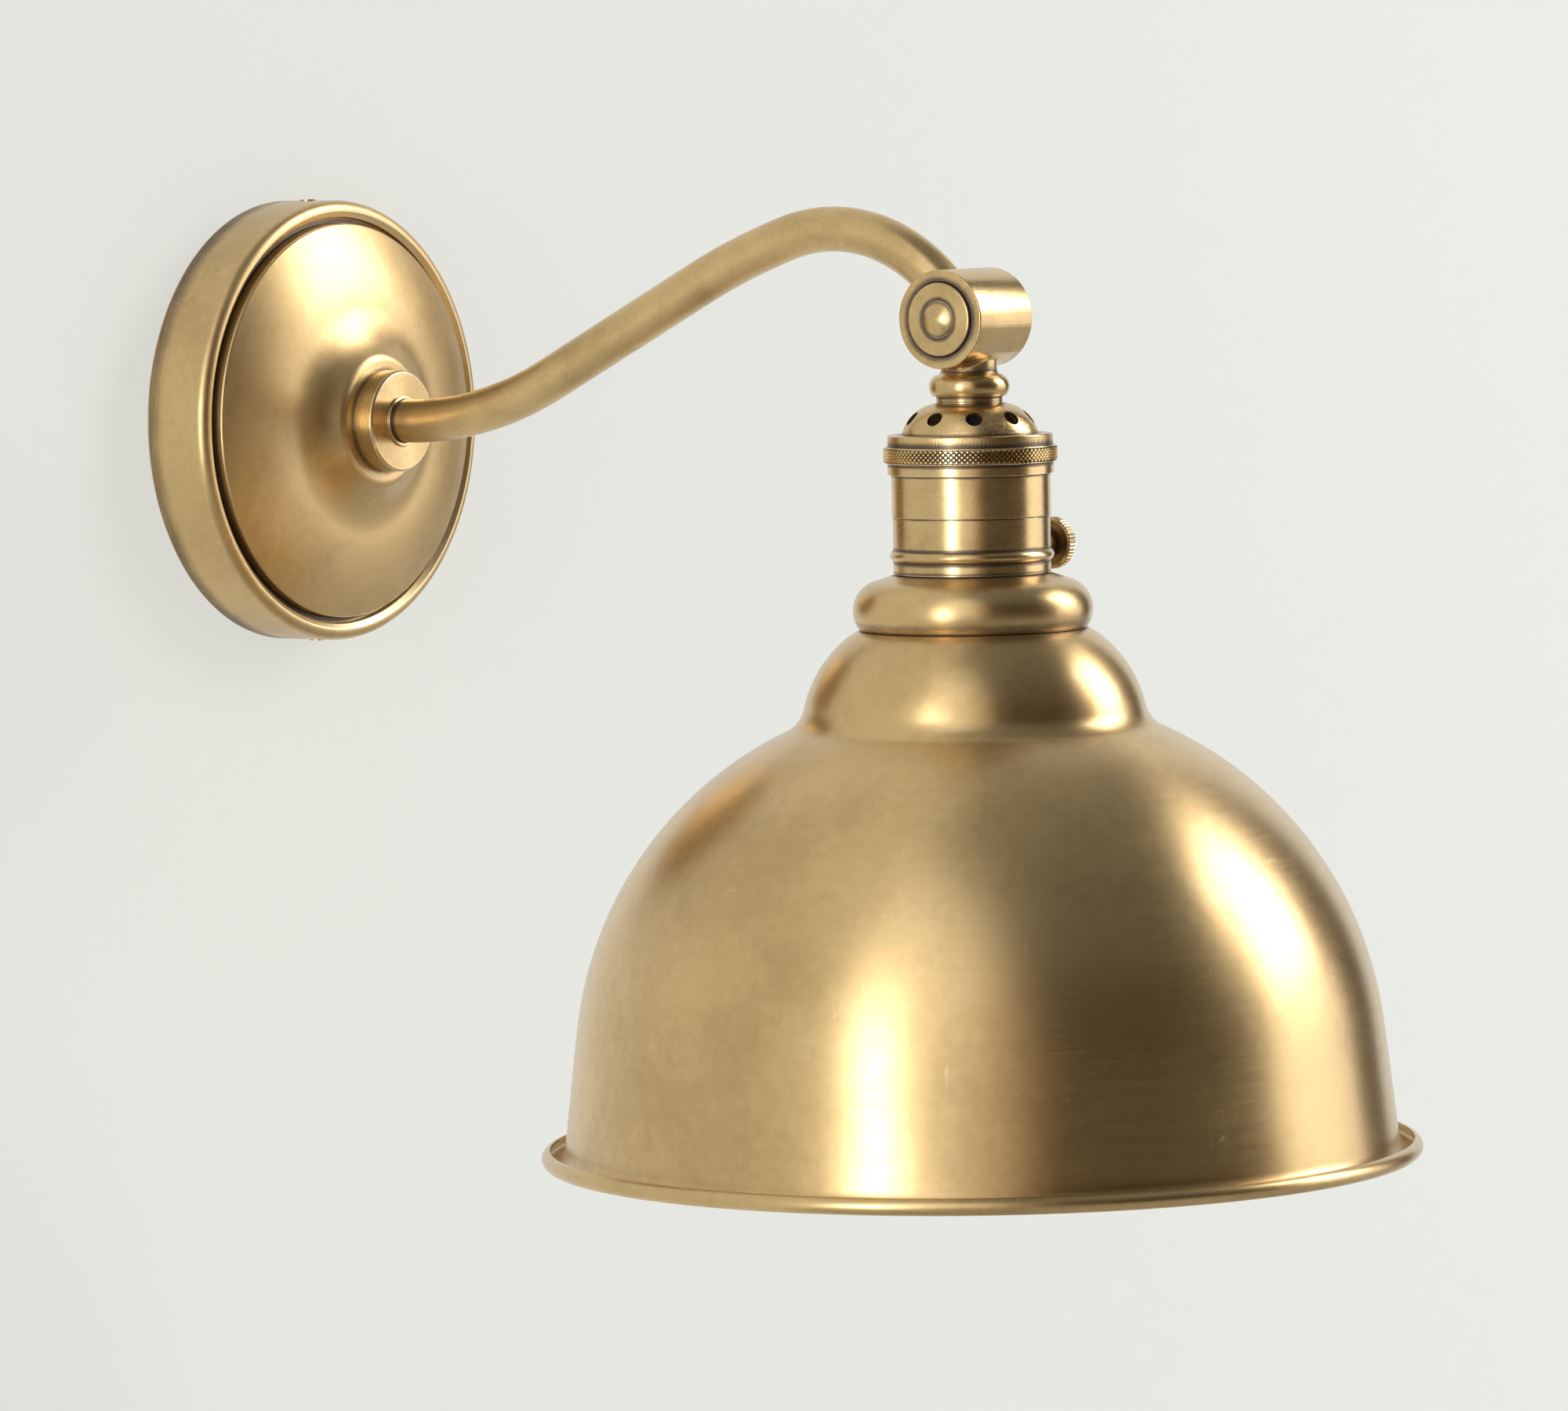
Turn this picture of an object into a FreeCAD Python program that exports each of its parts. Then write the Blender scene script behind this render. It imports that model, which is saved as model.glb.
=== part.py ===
import FreeCAD, Part
import math
import os
import Sketcher

# Gooseneck wall sconce in aged brass: a canopy on a crossbar, a bent arm, a barrel knuckle
# and a tilting lampholder with a spun bell shade and a turn knob.
# Millimetres. The wall is the plane Y = 0 and the light stands out from it towards -Y.
# The origin is the middle of the canopy where it meets the wall, and Z points up.
# The knuckle turns about a line parallel to X. Levels given as "below the knuckle" are
# heights in the shade's own frame, whose origin is on that line.

SIZES = [
    # Where the main things stand
    ("arm_reach", 213.5, "wall to the knuckle's axis"),
    ("knuckle_height", 26.4, "knuckle's axis above the canopy's middle"),
    ("seat", 0.05, "clearance round a brazed, pressed or screwed piece"),
    ("running", 0.2, "clearance between pieces that turn on each other"),
    # Crossbar behind the canopy
    ("bar_width", 22.0, "crossbar, across"),
    ("bar_gauge", 2.0, "crossbar, thickness of the strip"),
    ("bar_bend", 1.0, "crossbar, inside radius of its bends"),
    ("bar_gap", 1.6, "from the bent ear to the inside of the canopy's drum"),
    ("ear_depth", 12.5, "from the wall to the tip of an ear"),
    ("box_screw_pitch", 88.9, "between the two screws of a junction box"),
    ("slot_width", 4.5, "slot for a box screw"),
    ("slot_length", 12.0, "slot for a box screw, over its round ends"),
    ("bar_hole", 5.1, "radius of the hole in the middle of the crossbar"),
    ("ground_place", 20.0, "ground screw from the middle of the crossbar"),
    ("ground_shank", 1.9, "ground screw, radius of its shank"),
    ("ground_head", 4.0, "ground screw, radius over its head"),
    ("ground_head_depth", 2.4, "ground screw, thickness of its head"),
    ("driver_slot", 0.9, "width of a screwdriver slot"),
    ("driver_depth", 1.0, "depth of a screwdriver slot"),
    # Canopy
    ("canopy_radius", 56.6, "canopy, outside of its drum"),
    ("canopy_wall", 1.2, "canopy, wall"),
    ("drum_depth", 18.5, "canopy, wall to the crest of its lip"),
    ("drum_round", 2.5, "canopy, round of its outer edge"),
    ("lip_width", 4.3, "canopy, from the drum's side to the groove"),
    ("lip_drop", 0.9, "canopy, how far the lip falls away to the groove"),
    ("lip_crest", 1.4, "canopy, sloping part of the lip"),
    ("groove_floor", 15.8, "canopy, wall to the floor of the groove"),
    ("groove_width", 1.5, "canopy, width of the groove"),
    ("hub_face", 31.7, "canopy, wall to the flat that the collar seats on"),
    ("hub_flat", 15.2, "canopy, radius of that flat"),
    ("hub_round", 3.2, "canopy, round of the hub's shoulder"),
    ("hub_steep", 45.0, "canopy, steepest slope beside the hub"),
    ("cove_round", 19.65, "canopy, hollow between the hub and the dome"),
    ("cove_turn", 39.0, "canopy, turn of that hollow"),
    ("dome_round", 71.0, "canopy, round of the dome"),
    ("dome_turn", 17.5, "canopy, turn of the dome"),
    ("dome_edge", 0.8, "canopy, round of the dome's rim"),
    ("set_screw", 2.0, "canopy set screw, radius"),
    ("set_screw_place", 8.0, "canopy set screw, from the wall"),
    ("set_screw_proud", 0.3, "canopy set screw, how far it stands out"),
    # Nipple and nut that hold the arm to the canopy
    ("nipple", 4.55, "arm nipple, radius"),
    ("nipple_bore", 3.0, "radius of the wire way through each nipple"),
    ("nipple_inside", 20.5, "arm nipple, wall to its inner end"),
    ("nipple_end", 39.0, "arm nipple, wall to its end inside the arm"),
    ("washer", 8.2, "lock washers, radius"),
    ("washer_gauge", 0.8, "lock washers, thickness"),
    ("nut", 8.1, "hexagon nuts, radius over the corners"),
    ("nut_height", 4.5, "hexagon nuts, height"),
    # Collar and arm
    ("collar", 13.0, "collar, radius"),
    ("collar_height", 6.0, "collar, height"),
    ("collar_edge", 0.5, "collar, chamfer"),
    ("collar_lip", 0.9, "collar, wall of the small lip round the arm"),
    ("collar_lip_height", 0.7, "collar, height of that lip"),
    ("arm", 5.55, "arm tube, radius: 7/16 in tube"),
    ("arm_wall", 0.95, "arm tube, wall"),
    ("arm_start", 8.5, "arm, straight part at the canopy"),
    ("arm_rise", 27.0, "arm, slope of its long straight part"),
    ("arm_foot_bend", 100.0, "arm, bend radius near the canopy"),
    ("arm_crown_bend", 184.6, "arm, bend radius where the crown begins"),
    ("arm_crown_turn", 9.25, "arm, turn of that first part of the crown"),
    ("arm_top_bend", 44.3, "arm, bend radius over the top"),
    ("arm_fall", 46.1, "arm, slope at which it meets the knuckle"),
    ("arm_stop", 5.2, "arm's end from the knuckle's axis"),
    # Knuckle
    ("barrel", 12.04, "knuckle barrel, radius"),
    ("barrel_near", 12.3, "knuckle barrel, from the arm's middle to its capped end"),
    ("barrel_far", 10.2,"knuckle barrel, from the arm's middle to its plain end"),
    ("barrel_wall", 1.5, "knuckle barrel, wall"),
    ("barrel_edge", 0.35, "knuckle barrel, round of its edges"),
    ("end_gauge", 2.0, "knuckle barrel, thickness of each end"),
    ("slot_side", 0.35, "gap between the arm and each side of its slot"),
    ("tilt_in", 30.0, "how far the shade tilts towards the wall"),
    ("tilt_out", 5.0, "how far the shade tilts away from the wall"),
    ("pivot_screw", 2.4, "pivot screw, radius of its shank"),
    ("button", 4.6, "pivot screw, radius of its domed head"),
    ("button_rise", 1.7, "pivot screw, height of its domed head"),
    ("button_round", 7.2, "pivot screw, round of its domed head"),
    ("cap_disc", 9.05, "cap disc, radius"),
    ("cap_gap", 0.25, "cap disc, gap round it"),
    ("cap_proud", 0.7, "cap disc, how far it stands out of the barrel"),
    ("cap_gauge", 1.8, "cap disc, thickness"),
    ("cap_edge", 0.6, "cap disc, round of its edge"),
    ("plug_recess", 0.2, "end plug, how far it lies inside the barrel's end"),
    ("wire_way", 2.0, "radius of the wire way through the pivot core"),
    ("wire_way_place", 4.9, "wire way from the arm's middle, along the knuckle"),
    ("neck", 6.85, "neck under the barrel, radius"),
    ("neck_round", 0.8, "fillet between the neck and the barrel"),
    ("neck_end", 12.95, "neck, its end below the knuckle"),
    # Turned coupling under the neck
    ("bead_top", 8.0, "coupling, radius where its bead begins"),
    ("bead_top_level", 13.8, "coupling, level where its bead begins"),
    ("bead", 9.85, "coupling, radius of its bead"),
    ("bead_hollow", 1.4, "coupling, hollow over its bead"),
    ("bead_upper_round", 3.05, "coupling, round of the bead above its widest line"),
    ("bead_lower_round", 3.8, "coupling, round of the bead below its widest line"),
    ("bead_level", 16.6, "coupling, level of the bead's widest line"),
    ("bead_foot", 9.0, "coupling, radius at the foot of its bead"),
    ("bead_foot_level", 19.0, "coupling, level of the bead's foot"),
    ("coupling_foot", 8.1, "coupling, radius of its foot"),
    ("cap_top", 20.75, "top of the socket cap below the knuckle"),
    ("cap_nipple_top", 11.4, "cap nipple, its top inside the neck"),
    ("cap_nipple_spare", 1.5, "cap nipple, thread left below its nut"),
    # Vented socket cap
    ("cap_wall", 0.9, "socket cap, wall"),
    ("cap_flat", 8.3, "socket cap, radius of its flat top"),
    ("cap_dome", 16.7, "socket cap, radius at the foot of its dome"),
    ("cap_dome_round", 9.7, "socket cap, round of its dome"),
    ("flange_level", 28.25, "socket cap, top of its flange"),
    ("flange", 20.2, "socket cap, radius of its flange"),
    ("flange_foot", 31.1, "socket cap, foot of its skirt"),
    ("flange_edge", 0.4, "socket cap, round of the flange"),
    ("vent", 2.05, "vent hole, radius"),
    ("vent_count", 9.0, "vent holes round the cap"),
    ("vent_place", 14.6, "vent hole's middle from the lamp's axis"),
    ("vent_level", 24.05, "vent hole's middle below the knuckle"),
    ("vent_lean", 41.0, "vent hole, how far its axis points up"),
    ("vent_turn", 18.3, "turn of the first vent hole from +X"),
    # Knurled ring and socket shell
    ("ring", 21.3, "knurled ring, radius over the knurl"),
    ("ring_foot", 35.2, "knurled ring, foot of the knurl"),
    ("ring_edge", 0.35, "knurled ring, chamfer"),
    ("ring_skirt", 20.3, "knurled ring, radius of the plain band under the knurl"),
    ("skirt_foot", 37.95, "knurled ring, foot of the plain band"),
    ("shell", 19.45, "socket shell, radius"),
    ("shell_wall", 0.8, "socket shell, wall"),
    ("shell_top", 31.6, "socket shell, its top inside the ring"),
    ("shell_foot", 48.3, "socket shell, the seam at its foot"),
    # Lower sleeve
    ("sleeve", 19.25, "lower sleeve, radius"),
    ("sleeve_bore", 17.6, "lower sleeve, radius of its bore"),
    ("spigot_length", 3.8, "lower sleeve, spigot inside the shell"),
    ("rib", 20.1, "lower sleeve, radius of its rolled rib"),
    ("rib_top", 56.35, "lower sleeve, top of the rib"),
    ("rib_foot", 59.15, "lower sleeve, foot of the rib"),
    ("rib_round", 1.9, "lower sleeve, round of the rib"),
    ("shoulder_level", 62.2, "lower sleeve, shoulder that the shade's neck ring bears on"),
    ("thread", 18.65, "lower sleeve, radius of its threaded part"),
    ("sleeve_foot", 83.5, "lower sleeve, its foot inside the shade"),
    ("sleeve_seam", 0.15, "gap at the seam between shell and sleeve"),
    # Lampholder
    ("liner_wall", 0.5, "insulating liner, wall"),
    ("holder_top", 34.2, "lampholder body, top"),
    ("holder_floor", 59.5, "lampholder body, floor above the lamp"),
    ("holder_foot", 82.6, "lampholder body, foot"),
    ("lamp_bore", 13.3, "screw shell for an E26 lamp, inner radius"),
    ("lamp_shell_wall", 0.5, "screw shell for the lamp, wall"),
    ("contact", 4.2, "centre contact, radius"),
    ("contact_rise", 0.45, "centre contact, how far a seated lamp leaves it off the floor"),
    ("contact_gauge", 0.3, "centre contact, thickness"),
    ("terminal", 3.0, "terminal screws, radius of the head"),
    ("terminal_height", 2.0, "terminal screws, height of the head"),
    ("terminal_place", 9.5, "terminal screws, from the lamp's axis"),
    # Turn switch
    ("switch_level", 56.7, "switch spindle below the knuckle"),
    ("bushing", 3.4, "switch bushing, radius"),
    ("bushing_root", 14.0, "switch bushing, its inner end from the lamp's axis"),
    ("bushing_end", 26.0, "switch bushing, its end from the lamp's axis"),
    ("bushing_nut", 4.6, "switch bushing, radius of its round nut"),
    ("bushing_nut_gauge", 1.4, "switch bushing, thickness of its nut"),
    ("spindle", 1.5, "switch spindle, radius"),
    ("spindle_root", 6.0, "switch spindle, its inner end from the lamp's axis"),
    ("knob", 6.5, "turn knob, radius"),
    ("knob_start", 33.4, "turn knob, inner face from the lamp's axis"),
    ("knob_gauge", 3.0, "turn knob, thickness"),
    ("knob_hub", 3.0, "turn knob, radius of its hub"),
    ("knob_hub_length", 3.0, "turn knob, length of its hub"),
    ("knob_edge", 0.4, "turn knob, chamfer"),
    # Neck ring over the shade
    ("neck_ring", 29.35, "neck ring, widest radius"),
    ("neck_ring_level", 71.0, "neck ring, level of its widest line"),
    ("neck_ring_slope", 24.5, "neck ring, radius where its sloping top ends"),
    ("neck_ring_slope_level", 64.1, "neck ring, level where its sloping top ends"),
    ("neck_ring_round", 7.4, "neck ring, round of its side"),
    ("neck_ring_foot", 27.6, "neck ring, radius of its foot"),
    ("neck_ring_wall", 1.0, "neck ring, wall"),
    # Shade
    ("shade_top", 75.95, "shade, its flat top below the knuckle"),
    ("shade_wall", 0.9, "shade, wall"),
    ("crown_flat", 27.45, "shade, radius of its flat top"),
    ("crown_edge", 3.0, "shade, round at the edge of the flat top"),
    ("crown_start", 28.0, "shade, slope where the small dome begins"),
    ("crown_round", 15.0, "shade, upper round of the small dome"),
    ("crown_round_turn", 11.1, "shade, turn of that round"),
    ("crown_side", 30.5, "shade, lower round of the small dome"),
    ("crown_side_turn", 38.4, "shade, turn of that round"),
    ("crease", 8.0, "shade, hollow between the two domes"),
    ("crease_turn", 52.6, "shade, turn of that hollow"),
    ("bell_round", 91.8, "shade, round of the large dome"),
    ("bell_turn", 56.2, "shade, turn of the large dome"),
    ("bell_side", 180.0, "shade, round of its side"),
    ("bell_side_turn", 2.2, "shade, turn of its side"),
    ("bell_skirt", 24.6, "shade, straight part above the rim"),
    ("flare", 5.0, "shade, round of the flare"),
    ("flare_turn", 65.0, "shade, turn of the flare"),
    ("curl", 1.2, "shade, inside radius of the rolled edge"),
    ("curl_turn", 97.0, "shade, turn of each half of the rolled edge"),
    ("clamp_ring", 24.0, "shade clamp ring, radius"),
    ("clamp_ring_height", 4.0, "shade clamp ring, height"),
    ("clamp_ring_edge", 0.5, "shade clamp ring, chamfer"),
]

LEFT = 1
RIGHT = -1
TOUCHING = 1e-7


class Size:
    """A number together with the expression that gives it from the sheet."""

    def __init__(self, value, text):
        self.value = float(value)
        self.text = text

    def __add__(self, other):
        other = as_size(other)
        return Size(self.value + other.value, f"({self.text} + {other.text})")

    def __sub__(self, other):
        other = as_size(other)
        return Size(self.value - other.value, f"({self.text} - {other.text})")

    def __mul__(self, other):
        other = as_size(other)
        return Size(self.value * other.value, f"({self.text} * {other.text})")

    def __truediv__(self, other):
        other = as_size(other)
        return Size(self.value / other.value, f"({self.text} / {other.text})")

    def __neg__(self):
        return Size(-self.value, f"(0 - {self.text})")

    __radd__ = __add__
    __rmul__ = __mul__

    def __rsub__(self, other):
        return as_size(other) - self


def as_size(number):
    return number if isinstance(number, Size) else Size(number, repr(float(number)))


def sine(angle):
    return Size(math.sin(math.radians(angle.value)), f"sin({angle.text})")


def cosine(angle):
    return Size(math.cos(math.radians(angle.value)), f"cos({angle.text})")


class Sheet:
    """The driving sizes: each name is a cell's alias and an attribute here."""

    def __init__(self, document, rows):
        cells = document.addObject("Spreadsheet::Sheet", "sizes")
        for row, (name, value, note) in enumerate(rows, start=1):
            cells.set(f"A{row}", note)
            cells.set(f"B{row}", str(value))
            cells.setAlias(f"B{row}", name)
            setattr(self, name, Size(value, f"sizes.{name}"))


doc = FreeCAD.newDocument("wall_sconce")
s = Sheet(doc, SIZES)
doc.recompute()
ZERO = as_size(0.0)
parts = []


# Frames. Each piece is drawn in one of them, with its own axis along the frame's z.

def wall_frame(piece):
    """z runs out of the wall, y runs up."""
    piece.Placement = FreeCAD.Placement(FreeCAD.Vector(), FreeCAD.Rotation(FreeCAD.Vector(1, 0, 0), 90))


def head_frame(piece):
    """Origin on the knuckle's axis, z up."""
    bind(piece, "Placement.Base.y", -s.arm_reach)
    bind(piece, "Placement.Base.z", s.knuckle_height)


def pivot_frame(piece):
    """Origin on the knuckle's axis, z along that axis, x down."""
    piece.Placement = FreeCAD.Placement(FreeCAD.Vector(), FreeCAD.Rotation(FreeCAD.Vector(0, 1, 0), 90))
    head_frame(piece)


def switch_frame(piece):
    """Origin on the lamp's axis, z along the switch spindle."""
    pivot_frame(piece)
    bind(piece, "Placement.Base.z", s.knuckle_height - s.switch_level)


def bind(thing, target, size):
    thing.setExpression(target, size.text)


def new_body(label, frame):
    body = doc.addObject("PartDesign::Body", label)
    body.Label = label
    frame(body)
    parts.append(body)
    return body


def new_sketch(body, role, name):
    sketch = body.newObject("Sketcher::SketchObject", f"{body.Label}_{name}")
    plane = next(item for item in body.Origin.OriginFeatures if item.Role == role)
    sketch.AttachmentSupport = [(plane, "")]
    sketch.MapMode = "FlatFace"
    return sketch


class Outline:
    """Lines and arcs, end to end, in a sketch. Each corner is held by its own expressions."""

    def __init__(self, sketch, x, y):
        self.sketch = sketch
        self.corners = [(x.value, y.value)]
        self.holds = [("from_origin", x, y)]
        self.edges = []

    def line(self, x, y):
        self._edge(x.value, y.value, ("from_origin", x, y), None, None)
        return self

    def arc(self, x, y, radius, side):
        self._edge(x.value, y.value, ("from_origin", x, y), radius, side)
        return self

    def step(self, dx, dy, radius=None, side=None):
        x, y = self.corners[-1]
        self._edge(x + dx.value, y + dy.value, ("from_last", dx, dy), radius, side)
        return self

    def along(self, steps):
        for dx, dy, radius, side in steps:
            self.step(dx, dy, radius, side)
        return self

    def back(self, steps, x, y):
        """Return along steps, so that the last corner is at x, y."""
        start_x = x.value + sum(dx.value for dx, dy, radius, side in steps)
        start_y = y.value + sum(dy.value for dx, dy, radius, side in steps)
        self._edge(start_x, start_y, None, None, None)
        for dx, dy, radius, side in reversed(steps):
            other = None if side is None else -side
            self.step(-dx, -dy, radius, other)
        self.holds.append(("pin", x, y))
        return self

    def slope(self, length, angle):
        """A straight run of free length at a fixed angle."""
        x, y = self.corners[-1]
        turn = math.radians(angle.value)
        self._edge(x + length * math.cos(turn), y + length * math.sin(turn), ("slope", angle, None), None, None)
        return self

    def pin(self, x, y):
        self.holds.append(("pin", x, y))
        return self

    def _edge(self, x, y, hold, radius, side):
        self.corners.append((x, y))
        self.holds.append(hold)
        self.edges.append((radius, side))

    def close(self):
        x, y = self.corners[0]
        last_x, last_y = self.corners[-1]
        if math.hypot(last_x - x, last_y - y) < TOUCHING:
            self.holds[-1] = None
        else:
            self._edge(x, y, None, None, None)
        return self.draw(closed=True)

    def draw(self, closed=False):
        sketch = self.sketch
        base = sketch.GeometryCount
        ends = []
        for number, (radius, side) in enumerate(self.edges):
            start = FreeCAD.Vector(*self.corners[number], 0)
            stop = FreeCAD.Vector(*self.corners[number + 1], 0)
            if radius is None:
                sketch.addGeometry(Part.LineSegment(start, stop), False)
                ends.append((1, 2))
            else:
                sketch.addGeometry(minor_arc(start, stop, radius.value, side), False)
                ends.append((1, 2) if side == LEFT else (2, 1))
        joints = [(number - 1, number) for number in range(1, len(self.edges))]
        if closed:
            joints.append((len(self.edges) - 1, 0))
        for one, two in joints:
            sketch.addConstraint(Sketcher.Constraint("Coincident", base + one, ends[one][1],
                                                     base + two, ends[two][0]))
        for number, (radius, side) in enumerate(self.edges):
            if radius is not None:
                self._datum("Radius", (base + number,), radius)
        corner = -1
        for hold in self.holds:
            if hold is None or hold[0] != "pin":
                corner += 1
            if hold is None:
                continue
            kind, first, second = hold
            edge = max(corner - 1, 0)
            point = ends[edge][1] if corner > 0 else ends[0][0]
            if kind in ("from_origin", "pin"):
                self._datum("DistanceX", (-1, 1, base + edge, point), first)
                self._datum("DistanceY", (-1, 1, base + edge, point), second)
            elif kind == "from_last":
                self._datum("DistanceX", (base + edge, ends[edge][0], base + edge, ends[edge][1]), first)
                self._datum("DistanceY", (base + edge, ends[edge][0], base + edge, ends[edge][1]), second)
            elif kind == "slope":
                self._datum("Angle", (base + edge,), first)
        return sketch

    def _datum(self, kind, items, size):
        value = math.radians(size.value) if kind == "Angle" else size.value
        place = self.sketch.addConstraint(Sketcher.Constraint(kind, *items, value))
        self.sketch.setExpression(f"Constraints[{place}]", size.text)


def minor_arc(start, stop, radius, side):
    """The shorter arc from start to stop, turning left or right."""
    chord = stop - start
    half = chord.Length / 2
    rise = math.sqrt(max(radius * radius - half * half, 0.0))
    normal = FreeCAD.Vector(-chord.y, chord.x, 0) / chord.Length
    centre = (start + stop) / 2 + normal * (rise * side)
    first, last = (start, stop) if side == LEFT else (stop, start)
    begin = math.atan2(first.y - centre.y, first.x - centre.x)
    end = math.atan2(last.y - centre.y, last.x - centre.x)
    if end < begin:
        end += 2 * math.pi
    circle = Part.Circle(centre, FreeCAD.Vector(0, 0, 1), radius)
    return Part.ArcOfCircle(circle, begin, end)


def bent(heading, bends, depth=ZERO):
    """Steps along a bent line, at a depth to the right of the line that the bends describe."""
    steps = []
    for kind, amount, turn in bends:
        if kind == "run":
            steps.append((amount * cosine(heading), amount * sine(heading), None, None))
            continue
        side = LEFT if turn.value > 0 else RIGHT
        radius = amount + depth if side == LEFT else amount - depth
        after = heading + turn
        dx = radius * (sine(after) - sine(heading))
        dy = radius * (cosine(heading) - cosine(after))
        steps.append((dx, dy, radius, side) if side == LEFT else (-dx, -dy, radius, side))
        heading = after
    return steps


def run(length):
    return ("run", length, None)


def bend(radius, turn):
    return ("bend", radius, turn)


def circle(sketch, x, y, radius):
    """A circle held by its centre and radius."""
    place = sketch.addGeometry(Part.Circle(FreeCAD.Vector(x.value, y.value, 0), FreeCAD.Vector(0, 0, 1),
                                           radius.value), False)
    for kind, items, size in (("Radius", (place,), radius),
                              ("DistanceX", (-1, 1, place, 3), x),
                              ("DistanceY", (-1, 1, place, 3), y)):
        number = sketch.addConstraint(Sketcher.Constraint(kind, *items, size.value))
        sketch.setExpression(f"Constraints[{number}]", size.text)


def revolve(body, sketch):
    turned = body.newObject("PartDesign::Revolution", f"{body.Label}_turned")
    turned.Profile = sketch
    turned.ReferenceAxis = (sketch, ["V_Axis"])
    turned.Angle = 360.0
    sketch.Visibility = False
    return turned


def turned_piece(label, frame, corners):
    """A body turned about its frame's z from a closed outline of straight and round edges."""
    body = new_body(label, frame)
    outline = Outline(new_sketch(body, "XZ_Plane", "outline"), *corners[0])
    for corner in corners[1:]:
        if len(corner) == 2:
            outline.line(*corner)
        else:
            outline.arc(*corner)
    outline.close()
    revolve(body, outline.sketch)
    return body


def cut(body, sketch, name, length=None, both_ways=False, forwards=False):
    """Cut a sketch's outline out of the body, and see that something was removed."""
    doc.recompute()
    before = body.Shape.Volume
    pocket = body.newObject("PartDesign::Pocket", f"{body.Label}_{name}")
    pocket.Profile = sketch
    if length is None:
        pocket.Type = "ThroughAll"
    else:
        pocket.Type = "Length"
        bind(pocket, "Length", length)
    pocket.Midplane = both_ways
    pocket.Reversed = forwards
    doc.recompute()
    if body.Shape.Volume >= before:
        raise RuntimeError(f"{body.Label}: {name} cuts nothing")
    return pocket


# The crossbar and what holds the canopy

def mounting_bracket():
    body = new_body("mounting_bracket", wall_frame)
    half = s.canopy_radius - s.canopy_wall - s.bar_gap
    outer = s.bar_bend + s.bar_gauge
    outline = Outline(new_sketch(body, "YZ_Plane", "strip"), -half, s.ear_depth)
    outline.line(-half, outer)
    outline.arc(outer - half, ZERO, outer, LEFT)
    outline.line(half - outer, ZERO)
    outline.arc(half, outer, outer, LEFT)
    outline.line(half, s.ear_depth)
    outline.line(half - s.bar_gauge, s.ear_depth)
    outline.line(half - s.bar_gauge, outer)
    outline.arc(half - outer, s.bar_gauge, s.bar_bend, RIGHT)
    outline.line(outer - half, s.bar_gauge)
    outline.arc(s.bar_gauge - half, outer, s.bar_bend, RIGHT)
    outline.line(s.bar_gauge - half, s.ear_depth)
    outline.close()
    strip = body.newObject("PartDesign::Pad", "strip")
    strip.Profile = outline.sketch
    strip.Midplane = True
    bind(strip, "Length", s.bar_width)

    face = new_sketch(body, "XY_Plane", "holes")
    circle(face, ZERO, ZERO, s.bar_hole)
    circle(face, ZERO, s.ground_place, s.ground_shank + s.seat)
    for side in (1, -1):
        slot(face, side * s.box_screw_pitch / 2)
    cut(body, face, "holes", s.bar_gauge * 2, both_ways=True)
    ears = new_sketch(body, "XZ_Plane", "ear_holes")
    circle(ears, ZERO, s.set_screw_place, s.set_screw + s.seat)
    cut(body, ears, "ear_holes", both_ways=True)


def slot(sketch, middle):
    """A round-ended slot along the crossbar, centred on a box screw's place."""
    radius = s.slot_width / 2
    high = middle + (s.slot_length - s.slot_width) / 2
    low = middle - (s.slot_length - s.slot_width) / 2
    outline = Outline(sketch, radius, low)
    outline.line(radius, high)
    outline.arc(ZERO, high + radius, radius, LEFT)
    outline.arc(-radius, high, radius, LEFT)
    outline.line(-radius, low)
    outline.arc(ZERO, low - radius, radius, LEFT)
    outline.arc(radius, low, radius, LEFT)
    outline.close()


def bore_round(body, name, role, x, y, radius, length=None, both_ways=False):
    """A round hole from one of the body's own planes."""
    sketch = new_sketch(body, role, name)
    circle(sketch, x, y, radius)
    return cut(body, sketch, name, length, both_ways, forwards=not both_ways)


def primitive(kind, name, frame=None, **sizes):
    piece = doc.addObject(kind, name)
    if frame is not None:
        frame(piece)
    for target, size in sizes.items():
        bind(piece, target, size)
    return piece


def place(piece, x, y, z):
    bind(piece, "Placement.Base.x", x)
    bind(piece, "Placement.Base.y", y)
    bind(piece, "Placement.Base.z", z)


def turn(piece, axis, angle):
    piece.Placement = FreeCAD.Placement(FreeCAD.Vector(), FreeCAD.Rotation(FreeCAD.Vector(*axis), angle))


def taken(name, base, tool):
    piece = doc.addObject("Part::Cut", name)
    piece.Base = base
    piece.Tool = tool
    return piece


def finished(piece, label):
    piece.Label = label
    parts.append(piece)


def ground_screw():
    """Hexagon washer-head screw, slotted, in the crossbar."""
    head = primitive("Part::Prism", "ground_head", wall_frame, Circumradius=s.ground_head,
                     Height=s.ground_head_depth)
    head.Polygon = 6
    place(head, ZERO, -s.bar_gauge, s.ground_place)
    shank = primitive("Part::Cylinder", "ground_shank", wall_frame, Radius=s.ground_shank, Height=s.bar_gauge)
    place(shank, ZERO, ZERO, s.ground_place)
    whole = doc.addObject("Part::Fuse", "ground_whole")
    whole.Base = head
    whole.Tool = shank
    notch = primitive("Part::Box", "ground_notch", Length=s.ground_head * 2, Width=s.driver_depth,
                      Height=s.driver_slot)
    place(notch, -s.ground_head, -(s.bar_gauge + s.ground_head_depth), s.ground_place - s.driver_slot / 2)
    finished(taken("ground_cut", whole, notch), "ground_screw")


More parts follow.
